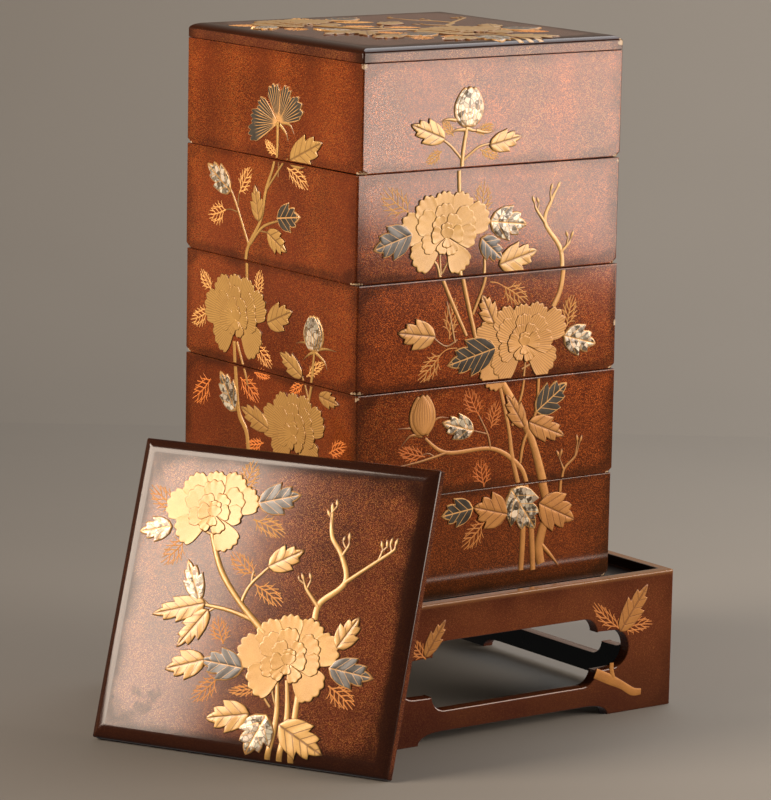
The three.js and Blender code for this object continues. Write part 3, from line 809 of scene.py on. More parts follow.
def petal(home, finish, x, y, turn, reach, spread, low, high, tone, scallops=5, cut=0.06, rows=12):
    """One petal fanning out from its foot at (x, y), with a scalloped outer edge, highest at that edge."""
    side = PETAL_SIDES[None, :] + np.zeros((rows, 1))
    out = np.concatenate([np.linspace(0, 0.85, rows - 5), [0.91, 0.945, 0.97, 0.988, 1.0]])[:, None]
    round_off = 1 - 0.10 * side ** 2 - 0.20 * side ** 8
    waves = np.abs(np.cos(side * scallops * pi / 2)) * (1 - 0.6 * side ** 6)
    edge = reach * (round_off + cut * waves)
    length = out * edge
    angle = spread * side * (1 - 0.10 * out ** 3)
    rim = np.minimum((1 - np.abs(side)) * spread * np.maximum(length, 5), (1 - out) * edge)
    level = (low + (high - low) * out ** 1.6) * (1 + 0.05 * np.cos(side * scallops * pi) * out ** 3)
    inner = (np.abs(side) < 1) & (out > 0) & (out < 1)
    z = np.where(inner, np.maximum(level * domed(rim, 0.8), 0.02), UNDER_FACE)
    grid = np.stack([x + length * np.cos(turn + angle), y + length * np.sin(turn + angle), z], -1)
    marks = np.stack([length, side * spread * reach, rim, np.full_like(length, tone)], -1)
    shell_of(grid[:, ::-1], marks[:, ::-1], finish, home)


PLAIN, ENGRAVED = (0.05, 0.40), (0.68, 0.98)
OUTER_PETALS = ((172, 26), (97, 25), (24, 26), (134, 26), (60, 25), (-36, 34), (217, 34))
MIDDLE_PETALS = ((150, 0.72, 31), (38, 0.72, 31), (95, 0.76, 30), (1, 0.60, 30), (192, 0.56, 30))
INNER_PETALS = ((124, 0.49, 34), (62, 0.50, 34), (238, 0.50, 30), (-62, 0.54, 32))
HEART_PETALS = ((178, 0.34, 42), (8, 0.34, 42), (94, 0.31, 46), (268, 0.34, 46))


def peony(home, x, y, radius_x, radius_y, seed, cut=PLAIN, outer=OUTER_PETALS):
    """An open flower: broad outer petals, two smaller rings and a heart below its middle, rising inwards."""
    chance = np.random.default_rng(seed)
    heart = (x, y - 0.10 * radius_y)

    def reach_at(degrees):
        turn = radians(degrees)
        lean = hypot(cos(turn) / radius_x, sin(turn) / radius_y)
        return 1 / lean - (heart[1] - y) * sin(turn)

    broad = tuple((degrees, 1.0, spread) for degrees, spread in outer)
    rings = ((broad, 0.36, 0.78, 0, 5), (MIDDLE_PETALS, 0.55, 0.98, 7, 4),
             (INNER_PETALS, 0.80, 1.18, 8, 3), (HEART_PETALS, 1.0, 1.38, 7, 3))
    for ring, low, high, unrest, scallops in rings:
        for k, (degrees, share, spread) in enumerate(ring):
            degrees += chance.uniform(-unrest, unrest)
            lift = 0.05 * (k % 4)
            petal(home, "gold_petal", *heart, radians(degrees),
                  reach_at(degrees) * share * chance.uniform(0.96, 1.02), radians(spread),
                  (low + lift) * RELIEF, (high + lift) * RELIEF, chance.uniform(*cut), scallops)
    petal(home, "gold_petal", heart[0], heart[1] - 0.13 * radius_y, pi / 2, 0.36 * radius_y, 0.9,
          1.1 * RELIEF, 1.5 * RELIEF, chance.uniform(*cut), 3)


def bud(home, finish, x, y, radius_x, radius_y, turn=90.0):
    """A closed bud: two side petals behind a middle one."""
    turn = radians(turn)
    up = (cos(turn), sin(turn))
    out = (sin(turn), -cos(turn))

    def spot(ahead, aside):
        return x + up[0] * ahead + out[0] * aside, y + up[1] * ahead + out[1] * aside

    petals = ((0.32, 0.97, 0.70, 0.6, 0.9), (-0.32, 0.95, 0.70, 0.6, 0.9), (0.0, 1.0, 0.78, 0.85, 1.3))
    for side, size, half, low, high in petals:
        foot = spot(-radius_y, radius_x * side * 0.8)
        tip = spot(radius_y * size, radius_x * side)
        egg(home, finish, foot, tip, radius_x * half, low, high)


def half_open(home, finish, x, y, petals):
    """A half-open flower seen from the side, its petals given by direction, reach and half spread."""
    for i, (degrees, reach, spread) in enumerate(petals):
        petal(home, finish, x, y, radians(degrees), reach, radians(spread), 0.6 * RELIEF,
              RELIEF * (0.95 + 0.2 * (i % 2)), 0.5, scallops=4, cut=0.10)


# Stems and painted lines: a flattened round swept along each path

def sweep_tree():
    """Geometry nodes that sweep a flattened round along paths whose points hold their half width."""
    tree = bpy.data.node_groups.new("stem_sweep", "GeometryNodeTree")
    inputs = (("Paths", "Geometry"), ("Step", "Float"), ("Sides", "Int"), ("Flatness", "Float"),
              ("Finish", "Material"))
    for label, kind in inputs:
        tree.interface.new_socket(label, in_out="INPUT", socket_type=f"NodeSocket{kind}")
    tree.interface.new_socket("Stems", in_out="OUTPUT", socket_type="NodeSocketGeometry")
    kinds = {
        "given": "NodeGroupInput", "made": "NodeGroupOutput", "curve": "GeometryNodeMeshToCurve",
        "smooth": "GeometryNodeCurveSplineType", "fine": "GeometryNodeSetSplineResolution",
        "spaced": "GeometryNodeResampleCurve", "ring": "GeometryNodeCurvePrimitiveCircle",
        "width": "GeometryNodeInputNamedAttribute", "swept": "GeometryNodeCurveToMesh",
        "place": "GeometryNodeInputPosition", "scale": "ShaderNodeCombineXYZ",
        "flatten": "ShaderNodeVectorMath", "settle": "GeometryNodeSetPosition",
        "real": "GeometryNodeRealizeInstances", "coat": "GeometryNodeSetMaterial",
    }
    nodes = {name: tree.nodes.new(kind) for name, kind in kinds.items()}
    nodes["smooth"].spline_type = "CATMULL_ROM"
    nodes["fine"].inputs["Resolution"].default_value = 8
    nodes["spaced"].mode = "LENGTH"
    nodes["width"].data_type = "FLOAT"
    nodes["width"].inputs["Name"].default_value = "half_width"
    nodes["swept"].inputs["Fill Caps"].default_value = True
    nodes["flatten"].operation = "MULTIPLY"
    for axis in (0, 1):
        nodes["scale"].inputs[axis].default_value = 1.0
    links = (
        ("given", "Paths", "curve", "Mesh"), ("curve", 0, "smooth", "Curve"), ("smooth", 0, "fine", 0),
        ("fine", 0, "spaced", "Curve"), ("given", "Step", "spaced", "Length"),
        ("spaced", 0, "swept", "Curve"), ("given", "Sides", "ring", "Resolution"),
        ("ring", 0, "swept", "Profile Curve"),
        ("width", 0, "swept", "Scale"), ("swept", 0, "settle", "Geometry"), ("place", 0, "flatten", 0),
        ("given", "Flatness", "scale", 2), ("scale", 0, "flatten", 1), ("flatten", 0, "settle", "Position"),
        ("settle", 0, "real", 0), ("real", 0, "coat", "Geometry"), ("given", "Finish", "coat", "Material"),
        ("coat", 0, "made", 0),
    )
    for source, out, target, into in links:
        tree.links.new(nodes[source].outputs[out], nodes[target].inputs[into])
    return tree


SWEEP = sweep_tree()


def swept(paths, step, sides, flatness, finish):
    """Sweeps paths, each a list of (x, y, half width, tone), and returns closed shells on the sheet."""
    points, edges, widths, tones = [], [], [], []
    for path in paths:
        first = len(points)
        points += [(x, y, 0.0) for x, y, _, _ in path]
        widths += [w for _, _, w, _ in path]
        tones += [t for _, _, _, t in path]
        edges += [(first + i, first + i + 1) for i in range(len(path) - 1)]
    mesh = bpy.data.meshes.new("paths")
    mesh.from_pydata(points, edges, [])
    for key, values in (("half_width", widths), ("tone", tones)):
        mesh.attributes.new(key, "FLOAT", "POINT").data.foreach_set("value", values)
    holder = linked("paths", mesh)
    sweep = holder.modifiers.new("sweep", "NODES")
    sweep.node_group = SWEEP
    sizes = {"Step": step, "Sides": sides, "Flatness": flatness, "Finish": FINISHES[finish]}
    for item in SWEEP.interface.items_tree:
        if item.in_out == "INPUT" and item.name in sizes:
            sweep[item.identifier] = sizes[item.name]
    made = settled(holder)
    bpy.data.objects.remove(holder)
    spots = np.empty(len(made.vertices) * 3, np.float32)
    made.vertices.foreach_get("co", spots)
    spots = spots.reshape(-1, 3)
    tone = np.empty(len(made.vertices), np.float32)
    made.attributes["tone"].data.foreach_get("value", tone)
    faces = [tuple(p.vertices) for p in made.polygons]
    # The rim mark grows with height above the face, so the stems' low sides get painted shade from the gold
    # finish
    marks = np.stack([spots[:, 0], spots[:, 1], spots[:, 2] * 0.64 / flatness, tone], -1)
    return islands(spots, marks, faces, finish)


def islands(spots, marks, faces, finish):
    """Parts a mesh into its separate shells."""
    parent = np.arange(len(spots))

    def root(k):
        while parent[k] != k:
            parent[k] = parent[parent[k]]
            k = parent[k]
        return k

    for face in faces:
        first = root(face[0])
        for k in face[1:]:
            parent[root(k)] = first
    roots = [root(k) for k in range(len(spots))]
    groups = {}
    for k, r in enumerate(roots):
        groups.setdefault(r, []).append(k)
    owned = {r: [] for r in groups}
    for face in faces:
        owned[roots[face[0]]].append(face)
    out = []
    for r, members in groups.items():
        new = {k: i for i, k in enumerate(members)}
        out.append((spots[members], marks[members], [tuple(new[k] for k in f) for f in owned[r]], finish))
    return out


def branch(route, first_width, last_width):
    """Route points with half widths: a stem that narrows, or a twig that ends in a swollen bud."""
    count = len(route) - 1
    if last_width != BUDDED:
        knots = [1.08 if i % 2 else 0.95 for i in range(count + 1)]
        return [(x, y, (first_width + (last_width - first_width) * i / count) / 2 * knots[i], 0.5)
                for i, (x, y) in enumerate(route)]
    last = max(first_width * 0.6, 1.6)
    path = [(x, y, (first_width + (last - first_width) * i / count) / 2, 0.5)
            for i, (x, y) in enumerate(route)]
    (x0, y0), (x1, y1) = route[-2:]
    length = dist(route[-2], route[-1])
    for back, width in ((6.0, last * 0.8), (3.0, 3.0)):
        share = max(1 - back / length, 0.1)
        path.insert(-1, (x0 + (x1 - x0) * share, y0 + (y1 - y0) * share, width / 2, 0.5))
    path[-1] = (x1, y1, 0.35, 0.5)
    return path


def line_leaf(base_x, base_y, tip_x, tip_y, width, tone=0.0):
    """Paths of a leaf drawn in thin lines: a middle rib and forked side ribs, without an outline."""
    length = dist((base_x, base_y), (tip_x, tip_y))
    ux, uy = (tip_x - base_x) / length, (tip_y - base_y) / length
    half = width / 2 / length

    def spot(along, across, thick):
        across += 0.05 * sin(along * 3)
        return (base_x + (along * ux - across * uy) * length, base_y + (along * uy + across * ux) * length,
                thick, tone)

    paths = [[spot(0, 0, 0.54), spot(0.35, 0, 0.50), spot(0.7, 0, 0.44), spot(1, 0, 0.28)]]
    for foot, reach, lead in ((0.10, 0.90, 0.32), (0.26, 1.0, 0.34), (0.44, 0.85, 0.28), (0.62, 0.55, 0.22)):
        for side in (-1, 1):
            out, start = reach * half * side, foot + 0.04 * side
            twigs = [((0, 0, 0.44), (0.45, 0.50, 0.42), (1, 1, 0.28)),
                     ((0.45, 0.50, 0.38), (0.95, 0.62, 0.34), (1.45, 0.66, 0.26))]
            if foot < 0.4:
                twigs.append(((0.3, 0.36, 0.32), (0.42, 0.8, 0.3), (0.46, 1.1, 0.24)))
            paths += [[spot(start + lead * ahead, out * aside, thick) for ahead, aside, thick in twig]
                      for twig in twigs]
    return paths


# Pictures

G, S, H = "gold_leaf", "silver_leaf", "shell_leaf"
SEPAL = (3.2, 0.6)

FRONT = {
    "branches": [
        (5, 3, [(34, 13), (35, 42), (33, 62), (23, 96), (19, 118), (10, 150)]),
        (5, 2.4, [(45, 12), (42, 48), (36, 78), (27, 92), (4, 105), (-36, 106), (-55, 118)]),
        (2.4, 1.2, [(-36, 106), (-58, 102), (-77, 100)]),
        (8, 6, [(52, 16), (50, 30), (56, 56), (50, 80), (40, 108), (27, 130), (12, 152)]),
        (4, 1.6, [(52, 30), (60, 22), (68, 13)]), (3, 3, [(30, 92), (33, 108), (43, 128), (45, 160)]),
        (3, BUDDED, [(68, 67), (70, 83), (80, 92), (86, 107)]), (2.4, BUDDED, [(70, 83), (63, 98)]),
        (1.8, BUDDED, [(80, 92), (82, 102), (81, 108)]), (1.8, BUDDED, [(66, 92), (68, 99)]),
        (3, 2, [(22, 120), (30, 143), (33, 165)]), (2, 1.4, [(30, 160), (40, 164), (46, 166)]),
        (2, 1.4, [(3, 105), (0, 116), (-8, 130)]), (1.6, 1.0, [(0, 116), (-14, 120)]),
        (1.4, 0.8, [(-45, 103), (-52, 107), (-58, 106)]), (3.4, 3, [(-43, 232), (-34, 214), (-20, 188)]),
        (3.4, 4, [(-26, 246), (-24, 228), (-12, 186)]), (2.6, 3, [(-4, 242), (-5, 226), (-15, 203)]),
        (2.4, 1.6, [(-43, 232), (-46, 241), (-54, 247)]), (2, 1.6, [(-42, 233), (-43, 243), (-43, 252)]),
        (2, 1.4, [(-41, 234), (-36, 242), (-32, 246)]), (2, 1.4, [(-30, 184), (-34, 200), (-38, 214)]),
        (1.6, 1.2, [(-28, 186), (-38, 182), (-50, 190)]),
        (4.6, BUDDED, [(57, 203), (64, 218), (64, 243), (49, 264), (54, 279), (62, 293)]),
        (3, BUDDED, [(49, 264), (41, 274), (37, 284)]), (3, BUDDED, [(64, 242), (71, 248), (75, 257)]),
        (1.8, BUDDED, [(42, 272), (43, 278), (41, 283)]), (2, BUDDED, [(54, 279), (53, 286), (55, 292)]),
        (1.8, BUDDED, [(69, 246), (70, 252), (68, 257)]), (3.4, 3.4, [(-27, 284), (-28, 312), (-24, 338)]),
        (2.4, 1.8, [(-28, 312), (-14, 321), (-3, 323)]), (2.4, 1.8, [(-28, 313), (-38, 323), (-47, 329)]),
    ],
    "sepals": [
        [(-56, 121), (-66, 126), (-79, 127)], [(-58, 120), (-68, 121), (-76, 114)],
        [(-54, 120), (-46, 131), (-35, 131)], [(-26, 334), (-34, 334), (-40, 331)],
        [(-24, 335), (-17, 333), (-8, 336)], [(-34, 341), (-42, 342), (-48, 340)],
        [(-16, 333), (-6, 331), (2, 333)],
    ],
    "leaves": [
        (S, -12, 63, -39, 60, 22), (G, 19, 56, -11, 64, 28), (H, 24, 72, 46, 42, 32),
        (G, 50, 60, 82, 45, 30), (H, -14, 120, -41, 128, 20), (S, 44, 129, 71, 147, 24),
        (G, 38, 121, 70, 108, 20), (G, 32, 119, 15, 144, 16), (G, -49, 190, -81, 195, 23),
        (G, 3, 196, -8, 217, 17), (S, 4, 177, -37, 168, 28), (H, 68, 181, 97, 173, 24),
        (S, -69, 263, -101, 254, 26), (H, 1, 268, 33, 264, 26), (S, -7, 256, 12, 240, 19),
        (G, 10, 237, 43, 245, 23), (G, -3, 322, 25, 327, 17), (G, -45, 329, -74, 340, 19),
    ],
    "peonies": [
        (31, 181, 43, 26, 1, ENGRAVED),
        (-38, 263, 41, 28, 2, PLAIN,
         ((168, 25), (96, 24), (22, 26), (132, 25), (58, 25), (-58, 30), (213, 30))),
    ],
    "petals": [(18, 176, 232, 32, 30)],
    "buds": [("gold_petal", -58, 135, 12, 15, 92), ("shell_petal", -23, 350, 13.5, 14.5, 88)],
    "lines": [
        (-46, 320, -60, 313, 9, 0), (-16, 331, 0, 335, 8, 0), (-36, 330, -45, 343, 8, 0),
        (-12, 319, 4, 312, 9, 0), (-70, 278, -93, 297, 20, 0.1), (-6, 272, -5, 297, 16, 0),
        (12, 221, 33, 206, 16, 0.1), (-35, 187, -30, 216, 13, 0.2), (70, 188, 76, 210, 14, 0.1),
        (-42, 177, -62, 160, 15, 0.2), (-8, 130, -18, 151, 15, 0.9), (3, 120, 10, 139, 13, 0.8),
        (-55, 105, -78, 113, 12, 0.9), (-2, 78, -5, 99, 15, 0.9), (0, 52, -20, 36, 16, 0.4),
    ],
    "stalks": [[(0, 225), (6, 224), (12, 221)], [(-28, 180), (-36, 180), (-42, 177)]],
}

LEFT = {
    "branches": [
        (6, 4, [(-20, 12), (-22, 60), (-26, 103), (-38, 122), (-44, 170)]),
        (5, 4, [(-8, 12), (-4, 50), (8, 95)]), (3.2, 2.6, [(50, 140), (55, 160), (57, 178)]),
        (3, 2, [(-40, 170), (-30, 150), (-26, 140)]), (2.4, 1.6, [(50, 142), (44, 155), (40, 162)]),
        (3.6, 3, [(-28, 214), (-27, 238), (-10, 262), (-4, 284), (6, 306), (7, 334)]),
        (2.6, 2, [(-25, 242), (-40, 267), (-50, 281)]), (2.6, 2, [(-23, 243), (-8, 257), (12, 264)]),
        (2.4, 2, [(-4, 284), (20, 309)]), (1.6, 1.2, [(11, 295), (11, 306)]),
        (1.6, 1.2, [(-40, 267), (-39, 274), (-38, 279)]), (1.4, 1.0, [(-40, 264), (-48, 265), (-55, 264)]),
        (1.6, 1.2, [(-12, 254), (-5, 254), (0, 254)]),
    ],
    "sepals": [
        [(57, 178), (46, 182), (34, 180)], [(57, 178), (70, 181), (84, 181)],
        [(57, 177), (50, 174), (43, 169)], [(58, 177), (69, 172), (73, 166)],
        [(9, 332), (-3, 330), (-7, 321)], [(10, 332), (17, 327), (20, 321)],
        [(12, 334), (22, 333), (27, 327)],
    ],
    "leaves": [
        (H, -42, 121, -62, 146, 24), (G, 0, 114, -35, 124, 18), (G, 64, 147, 88, 144, 13),
        (G, 0, 190, 30, 202, 22), (G, 42, 158, 14, 171, 16), (H, -50, 279, -80, 295, 21),
        (G, -12, 262, -18, 287, 17), (S, 12, 266, 40, 270, 22), (G, 0, 254, 24, 243, 18),
        (G, 25, 309, 62, 325, 24),
    ],
    "peonies": [(34, 118, 41, 26, 3, ENGRAVED), (-40, 190, 41, 28, 4, ENGRAVED)],
    "buds": [("shell_petal", 56, 190, 13, 13, 90)],
    "fans": [("silver_petal", 8, 333, ((197, 35, 16), (176, 31, 16), (152, 26, 20), (66, 27, 18),
                                      (30, 30, 24), (104, 26, 24)))],
    "lines": [
        (6, 310, -8, 320, 8, 0.1), (-38, 278, -22, 297, 14, 0.1), (-55, 264, -78, 258, 16, 0.2),
        (22, 303, 48, 290, 14, 0.1), (-74, 203, -88, 217, 12, 0.1), (-14, 208, -10, 226, 12, 0.1),
        (-78, 187, -101, 178, 14, 0.1), (-18, 171, 4, 157, 14, 0.3), (48, 158, 70, 170, 9, 0.1),
        (-74, 138, -98, 120, 18, 0.9), (-36, 145, -12, 130, 16, 0.9), (44, 153, 26, 145, 9, 0.9),
        (-5, 102, -28, 98, 9, 0.9), (76, 108, 97, 116, 12, 0.9), (-18, 151, 2, 150, 8, 0.9),
    ],
}

LID = {
    "branches": [
        (5, 3, [(20, -106), (22, -78), (18, -52)]), (5, 3, [(29, -106), (30, -76), (25, -50)]),
        (5, 4, [(38, -106), (36, -76), (35, -48)]), (4, 5, [(-52, 44), (-40, 20), (-22, 0), (2, -20)]),
        (3, 2, [(-20, 0), (-15, 13), (1, 31)]), (3.4, 2.4, [(-8, -12), (-30, -7), (-58, -5)]),
        (5, BUDDED, [(38, -6), (40, 6), (56, 22), (50, 40), (40, 53), (36, 76)]),
        (3.4, BUDDED, [(56, 22), (72, 35), (88, 48), (90, 57)]),
        (3.4, BUDDED, [(39, 3), (28, 14), (22, 25)]), (2, BUDDED, [(39, 58), (37, 65), (33, 71)]),
        (1.8, BUDDED, [(36, 68), (40, 74), (39, 79)]), (2.4, BUDDED, [(50, 40), (54, 48), (53, 57)]),
        (1.8, BUDDED, [(52, 46), (49, 50), (50, 54)]), (2.2, BUDDED, [(78, 40), (80, 47), (78, 54)]),
        (1.8, BUDDED, [(79, 46), (83, 50), (82, 55)]), (2, BUDDED, [(87, 47), (85, 52), (86, 57)]),
        (2, BUDDED, [(28, 14), (30, 21), (28, 26)]), (1.8, BUDDED, [(25, 18), (21, 20), (20, 23)]),
        (2.4, 2, [(-52, 44), (-58, 46), (-68, 50)]), (2.4, 2, [(-48, 36), (-52, 46), (-56, 52)]),
        (2, 1.6, [(-15, 13), (-15, 20), (-14, 22)]), (2.2, 1.8, [(16, -70), (8, -62), (2, -58)]),
        (2, 1.6, [(22, -72), (16, -60), (15, -52)]), (2, 1.6, [(34, -66), (42, -60), (48, -54)]),
        (2, 1.4, [(-44, -6), (-50, -2), (-52, 0)]), (2, 1.4, [(-40, -7), (-47, -12), (-50, -14)]),
    ],
    "leaves": [
        (G, -3, 27, 22, 41, 20), (G, -49, -5, -88, -17, 19), (G, -45, -10, -64, -38, 19),
        (H, -53, -2, -67, 25, 17), (H, -85, 46, -109, 40, 19), (S, -19, 70, 12, 79, 24),
        (S, -11, -46, -44, -44, 24), (G, -41, -44, -70, -54, 22), (S, 57, -38, 90, -41, 23),
        (G, 59, -23, 72, 0, 19), (G, 0, -77, -32, -84, 24), (H, 14, -77, 3, -105, 29),
        (G, 27, -82, 62, -98, 28),
    ],
    "peonies": [
        (-53, 61, 37, 28, 5, PLAIN,
         ((172, 25), (98, 24), (26, 24), (134, 25), (62, 24), (-52, 30), (213, 30))),
        (24, -35, 40, 29, 6, PLAIN),
    ],
    "lines": [
        (-82, 59, -106, 74, 16, 0.3), (-33, 78, -27, 99, 16, 0.1), (-22, 58, 4, 48, 14, 0.1),
        (-13, 19, -34, 34, 14, 0.3), (-12, 13, 11, 0, 14, 0.3), (-72, 38, -88, 20, 16, 0.3),
        (-28, -31, -36, -12, 15, 0.4), (-27, -54, -46, -72, 15, 0.4), (57, -50, 78, -64, 16, 0.5),
        (6, -57, -18, -62, 9, 0.4),
    ],
}


def plain_side():
    """The hidden faces carry one climbing stem with a bloom and leaves to either side."""
    leaves = [(G, s * 8, 50 + 46 * i, s * 38, 64 + 46 * i, 19) for i, s in enumerate((1, -1, 1, -1, 1))]
    return {"branches": [(6, 3, [(-6, 12), (4, 90), (-4, 170), (6, 250), (0, 300)])], "leaves": leaves,
            "peonies": [(0, 305, 34, 25, 7)]}


STAND_FRONT = {
    "branches": [
        (8, 5, [(73, 32), (86, 26), (98, 20), (108, 14), (116, 13)]),
        (4, 3.4, [(88, 38), (88, 32), (91, 24)]),
    ],
    "leaves": [(G, 96, 62, 120, 93, 20), (G, -80, 65, -63, 89, 14)],
    "lines": [(95, 62, 70, 85, 12, 0.5), (97, 62, 125, 62, 12, 0.5), (-80, 62, -92, 78, 12, 0.5)],
}


def drawn(picture, relief=RELIEF):
    """All figures of a picture, as shells on its sheet."""
    shells = []
    paths = [branch(route, first, last) for first, last, route in picture["branches"]]
    paths += [branch(route, *SEPAL) for route in picture.get("sepals", ())]
    trunks = [path for path in paths if path[0][2] > TRUNK]
    stems = [path for path in paths if path[0][2] <= TRUNK]
    for group, flatness in ((trunks, 0.17), (stems, 0.33)):
        if group:
            shells += swept(group, 1.6, 12, flatness * relief / RELIEF, "gold_stem")
    lines = []
    for *span, tone in picture.get("lines", ()):
        lines += line_leaf(*span, tone=tone)
    lines += [[(x, y, 0.35, 0.2) for x, y in stalk] for stalk in picture.get("stalks", ())]
    if lines:
        shells += swept(lines, 1.5, 6, 0.45, "line")
    chance = np.random.default_rng(len(paths))
    for kind, *span in picture["leaves"]:
        leaf(shells, kind, *span, tone=chance.uniform(0.1, 0.9), height=relief)
    for x, y, turn, reach, spread in picture.get("petals", ()):
        petal(shells, "gold_petal", x, y, radians(turn), reach, radians(spread), 0.4 * RELIEF,
              0.9 * RELIEF, 0.5, scallops=7)
    for flower in picture.get("peonies", ()):
        peony(shells, *flower)
    for kind, *span in picture.get("buds", ()):
        bud(shells, kind, *span)
    for kind, *span in picture.get("fans", ()):
        half_open(shells, kind, *span)
    return shells


def cropped(shell, low, high):
    """The part of a shell between two heights of its sheet, closed again where it is cut."""
    points, marks, faces, finish = shell
    if points[:, 1].max() <= low or points[:, 1].min() >= high:
        return None
    if points[:, 1].min() >= low and points[:, 1].max() <= high:
        return shell
    work = bmesh.new()
    layers = [work.verts.layers.float.new(m) for m in MARKS]
    made = []
    for spot, values in zip(points, marks):
        vert = work.verts.new(spot)
        for layer, value in zip(layers, values):
            vert[layer] = value
        made.append(vert)
    for face in faces:
        work.faces.new([made[k] for k in face])
    for height, upward in ((low, -1), (high, 1)):
        everything = work.verts[:] + work.edges[:] + work.faces[:]
        bmesh.ops.bisect_plane(work, geom=everything, plane_co=(0, height, 0), plane_no=(0, upward, 0),
                               clear_outer=True, dist=1e-5)
        open_edges = [e for e in work.edges if e.is_boundary]
        if open_edges:
            bmesh.ops.holes_fill(work, edges=open_edges, sides=0)
    work.verts.index_update()
    if not work.faces:
        work.free()
        return None
    new_points = np.array([v.co for v in work.verts])
    new_marks = np.array([[v[layer] for layer in layers] for v in work.verts])
    new_faces = [tuple(v.index for v in f.verts) for f in work.faces]
    work.free()
    return new_points, new_marks, new_faces, finish


def within(shells, low, high):
    """What remains of a sheet's shells between two heights."""
    return [part for part in (cropped(shell, low, high) for shell in shells) if part]


def laid(shells, onto, painted_dimming=0.0):
    """Shells whose points are moved from their sheet onto a piece's face, with how much painted shade dims
    them.
    """
    return [(onto(points), np.column_stack([marks, np.full(len(marks), painted_dimming)]), faces, finish)
            for points, marks, faces, finish in shells]


def figure_pieces(name, shells):
    """One object for each record slot that a piece's figures need."""
    for slot, finishes in SLOTS.items():
        mine = [s for s in shells if s[3] in finishes]
        if not mine:
            continue
        kinds = sorted({s[3] for s in mine})
        points = np.concatenate([s[0] for s in mine])
        marks = np.concatenate([s[1] for s in mine])
        faces, material_of, start = [], [], 0
        for spots, _, own, finish in mine:
            faces += [tuple(k + start for k in face) for face in own]
            material_of += [kinds.index(finish)] * len(own)
            start += len(spots)
        values = {key: marks[:, i] for i, key in enumerate((*MARKS, "painted_dimming"))}
        coats = [FINISHES[kind] for kind in kinds]
        piece = plain_mesh(f"{name}_{slot}", points, faces, values, coats, material_of, PLACES[name], 60)
        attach(piece, "root")


def face_rule(across, normal, reach, foot):
    """From a side sheet onto one face of an upright piece."""
    across, normal = np.array(across, float), np.array(normal, float)

    def onto(points):
        return (points[:, :1] * across + normal * (reach + points[:, 2:])
                + np.array([0, 0, 1.0]) * (points[:, 1:2] - foot))
    return onto


def onto_lid(points):
    """From the lid sheet onto a lid, following its bevel."""
    across = points[:, 0] + LID_PICTURE_SHIFT
    inset = np.minimum(BOX_WIDTH / 2 - np.abs(across), BOX_DEPTH / 2 - np.abs(points[:, 1]))
    ground = np.array([lid_height(i) for i in inset])
    return np.stack([across, points[:, 1], ground + points[:, 2]], -1)


# How much painted shade dims the figures on each box, from the top one down: more on the lower boxes, most
# on their fronts
FRONT_DIMMING = (0.0, 0.0, 0.6, 0.9, 1.0)
OTHER_DIMMING = (0.0, 0.0, 0.1, 0.3, 0.6)

hidden = drawn(plain_side())
FACES = (
    ((1, 0, 0), (0, -1, 0), BOX_DEPTH / 2, drawn(FRONT), FRONT_DIMMING),
    ((0, -1, 0), (-1, 0, 0), BOX_WIDTH / 2, drawn(LEFT), OTHER_DIMMING),
    ((-1, 0, 0), (0, 1, 0), BOX_DEPTH / 2, hidden, OTHER_DIMMING),
    ((0, 1, 0), (1, 0, 0), BOX_WIDTH / 2, hidden, OTHER_DIMMING),
)
lid_figures = within(drawn(LID), -BOX_DEPTH / 2 + LID_MARGIN, BOX_DEPTH / 2 - LID_MARGIN)


def claim(piece, node):
    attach(piece, "root")
    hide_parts(node)


for number in range(1, 6):
    name = f"tier_{number}"
    claim(make_tier(name), name)
    foot = (5 - number) * TIER_PITCH
    figures = []
    for across, normal, reach, shells, dimmings in FACES:
        parts = within(shells, foot + TIER_MARGIN, foot + TIER_HEIGHT - TIER_MARGIN)
        figures += laid(parts, face_rule(across, normal, reach, foot), dimmings[number - 1])
    figure_pieces(name, figures)

for name in ("lid", "spare_lid"):
    claim(make_lid(name), name)
    figure_pieces(name, laid(lid_figures, onto_lid))

claim(make_stand(), "stand")
onto_stand = face_rule((1, 0, 0), (0, -1, 0), STAND_DEPTH / 2, 0)
# The stand's figures take the full painted shade
figure_pieces("stand", laid(drawn(STAND_FRONT, STAND_RELIEF), onto_stand, 1.0))


# Floor, backdrop and light

VIEW_TURN = radians(-36.1)
ACROSS_VIEW = (0.808, -0.589, 0)
ALONG_VIEW = (0.589, 0.808, 0)
PAPER_HALF = 4.5
PAPER_BEND = 1.1
PAPER_ROUND = 0.9
PAPER_TOP = 3.2


def paper_grey():
    """Warm grey paper with painted light, lighter to the right, that can be seen through from its back."""
    finish = Finish("paper_grey")
    cross = finish.vector("DOT_PRODUCT", finish.place(), ACROSS_VIEW)["Value"]
    away = finish.vector("DOT_PRODUCT", finish.place(), ALONG_VIEW)["Value"]
    # Painted light: the paper lighter to the right, the change stronger towards the front
    side = finish.times(cross, finish.between(away, -0.4, 1.6, 2.1, 0.5))
    share = finish.between(finish.uneven(side, -0.03, 0.03, 3.0), -0.65, 0.65, smooth=False)
    tint = finish.mix(share, rgb(0.200, 0.188, 0.170), rgb(0.335, 0.314, 0.281))
    back = finish.node("ShaderNodeNewGeometry").outputs["Backfacing"]
    finish.set(Base_Color=tint, Alpha=finish.sum("SUBTRACT", 1.0, back))
    finish.set(Roughness=0.85, Specular_IOR_Level=0.2)
    return finish.material


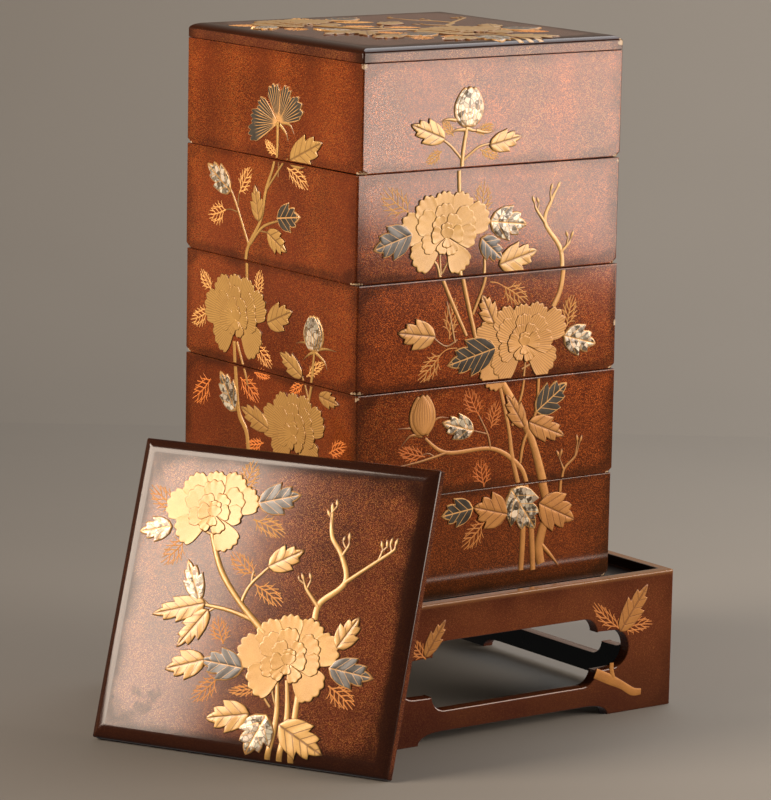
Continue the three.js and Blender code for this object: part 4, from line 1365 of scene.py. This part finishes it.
def studio():
    """A pale floor and a backdrop that curves up behind it."""
    turns = [radians(7.5 * i) for i in range(13)]
    rows = [(PAPER_BEND + PAPER_ROUND * sin(t), PAPER_ROUND * (1 - cos(t))) for t in turns]
    rows.append((PAPER_BEND + PAPER_ROUND, PAPER_TOP))
    paper = paper_grey()
    for name, lines in (("floor", [(-PAPER_HALF, 0.0), (PAPER_BEND, 0.0)]), ("backdrop", rows)):
        points = [(side * cos(VIEW_TURN) - away * sin(VIEW_TURN),
                   side * sin(VIEW_TURN) + away * cos(VIEW_TURN), z)
                  for away, z in lines for side in (-PAPER_HALF, PAPER_HALF)]
        faces = [(2 * i, 2 * i + 1, 2 * i + 3, 2 * i + 2) for i in range(len(lines) - 1)]
        sheet = plain_mesh(name, np.array(points) / MM, faces, {}, [paper])
        sheet.visible_glossy = name == "backdrop"


def soft_light(name, place, aim, size_x, size_y, power, colour, roll=0.0):
    lamp = bpy.data.lights.new(name, "AREA")
    lamp.shape = "RECTANGLE"
    lamp.size, lamp.size_y, lamp.energy, lamp.color = size_x, size_y, power, colour
    facing = (Vector(aim) - Vector(place)).to_track_quat("-Z", "Y").to_matrix().to_4x4()
    roll = Matrix.Rotation(radians(roll), 4, "Z")
    linked(name, lamp).matrix_world = Matrix.Translation(place) @ facing @ roll


studio()
soft_light("right_panel", (1.38, -1.215, 0.67), (0.015, -0.075, 0.67), 1.14, 1.24, 37, (1.0, 0.86, 0.74), -7)
soft_light("left_panel", (-1.50, 0.45, 0.92), (0.0, 0.45, 0.92), 0.90, 0.88, 37, (1.0, 0.83, 0.68))
soft_light("back_left_panel", (-1.7, 2.3, 0.6), (0.0, 0.1, 0.4), 1.6, 1.6, 1.4, (1.0, 0.75, 0.45))
soft_light("top_panel", (1.35, 0.6, 2.0), (0.6, 0.2, 0), 1.8, 1.6, 25, (0.98, 0.98, 1.0))

world = bpy.data.worlds.new("studio_air")
bpy.context.scene.world = world
world.use_nodes = True
air = world.node_tree.nodes["Background"]
air.inputs["Color"].default_value = rgb(0.50, 0.50, 0.49)
air.inputs["Strength"].default_value = 0.15


CAMERA_PLACE = (-1.74325, -2.41532, 0.76834)
CAMERA_TURNS = (-36.1105, 10.2643, 1.1002)
CAMERA_LENS = 190.76


def camera():
    """The photo's camera, from its turns about the upright, the level and the line of sight."""
    azimuth, pitch, roll = (radians(turn) for turn in CAMERA_TURNS)
    right = Vector((cos(azimuth), sin(azimuth), 0))
    level = Vector((sin(azimuth), -cos(azimuth), 0))
    back = level * cos(pitch) + Vector((0, 0, sin(pitch)))
    rise = back.cross(right)
    side = right * cos(roll) + rise * sin(roll)
    rise = rise * cos(roll) - right * sin(roll)
    lens = bpy.data.cameras.new("camera")
    lens.lens, lens.sensor_width = CAMERA_LENS, 36
    lens.clip_start, lens.clip_end = 0.1, 30
    holder = linked("camera", lens)
    turn = Matrix((side, rise, back)).transposed().to_4x4()
    holder.matrix_world = Matrix.Translation(CAMERA_PLACE) @ turn
    bpy.context.scene.camera = holder


camera()
bpy.context.scene.view_settings.view_transform = "Standard"
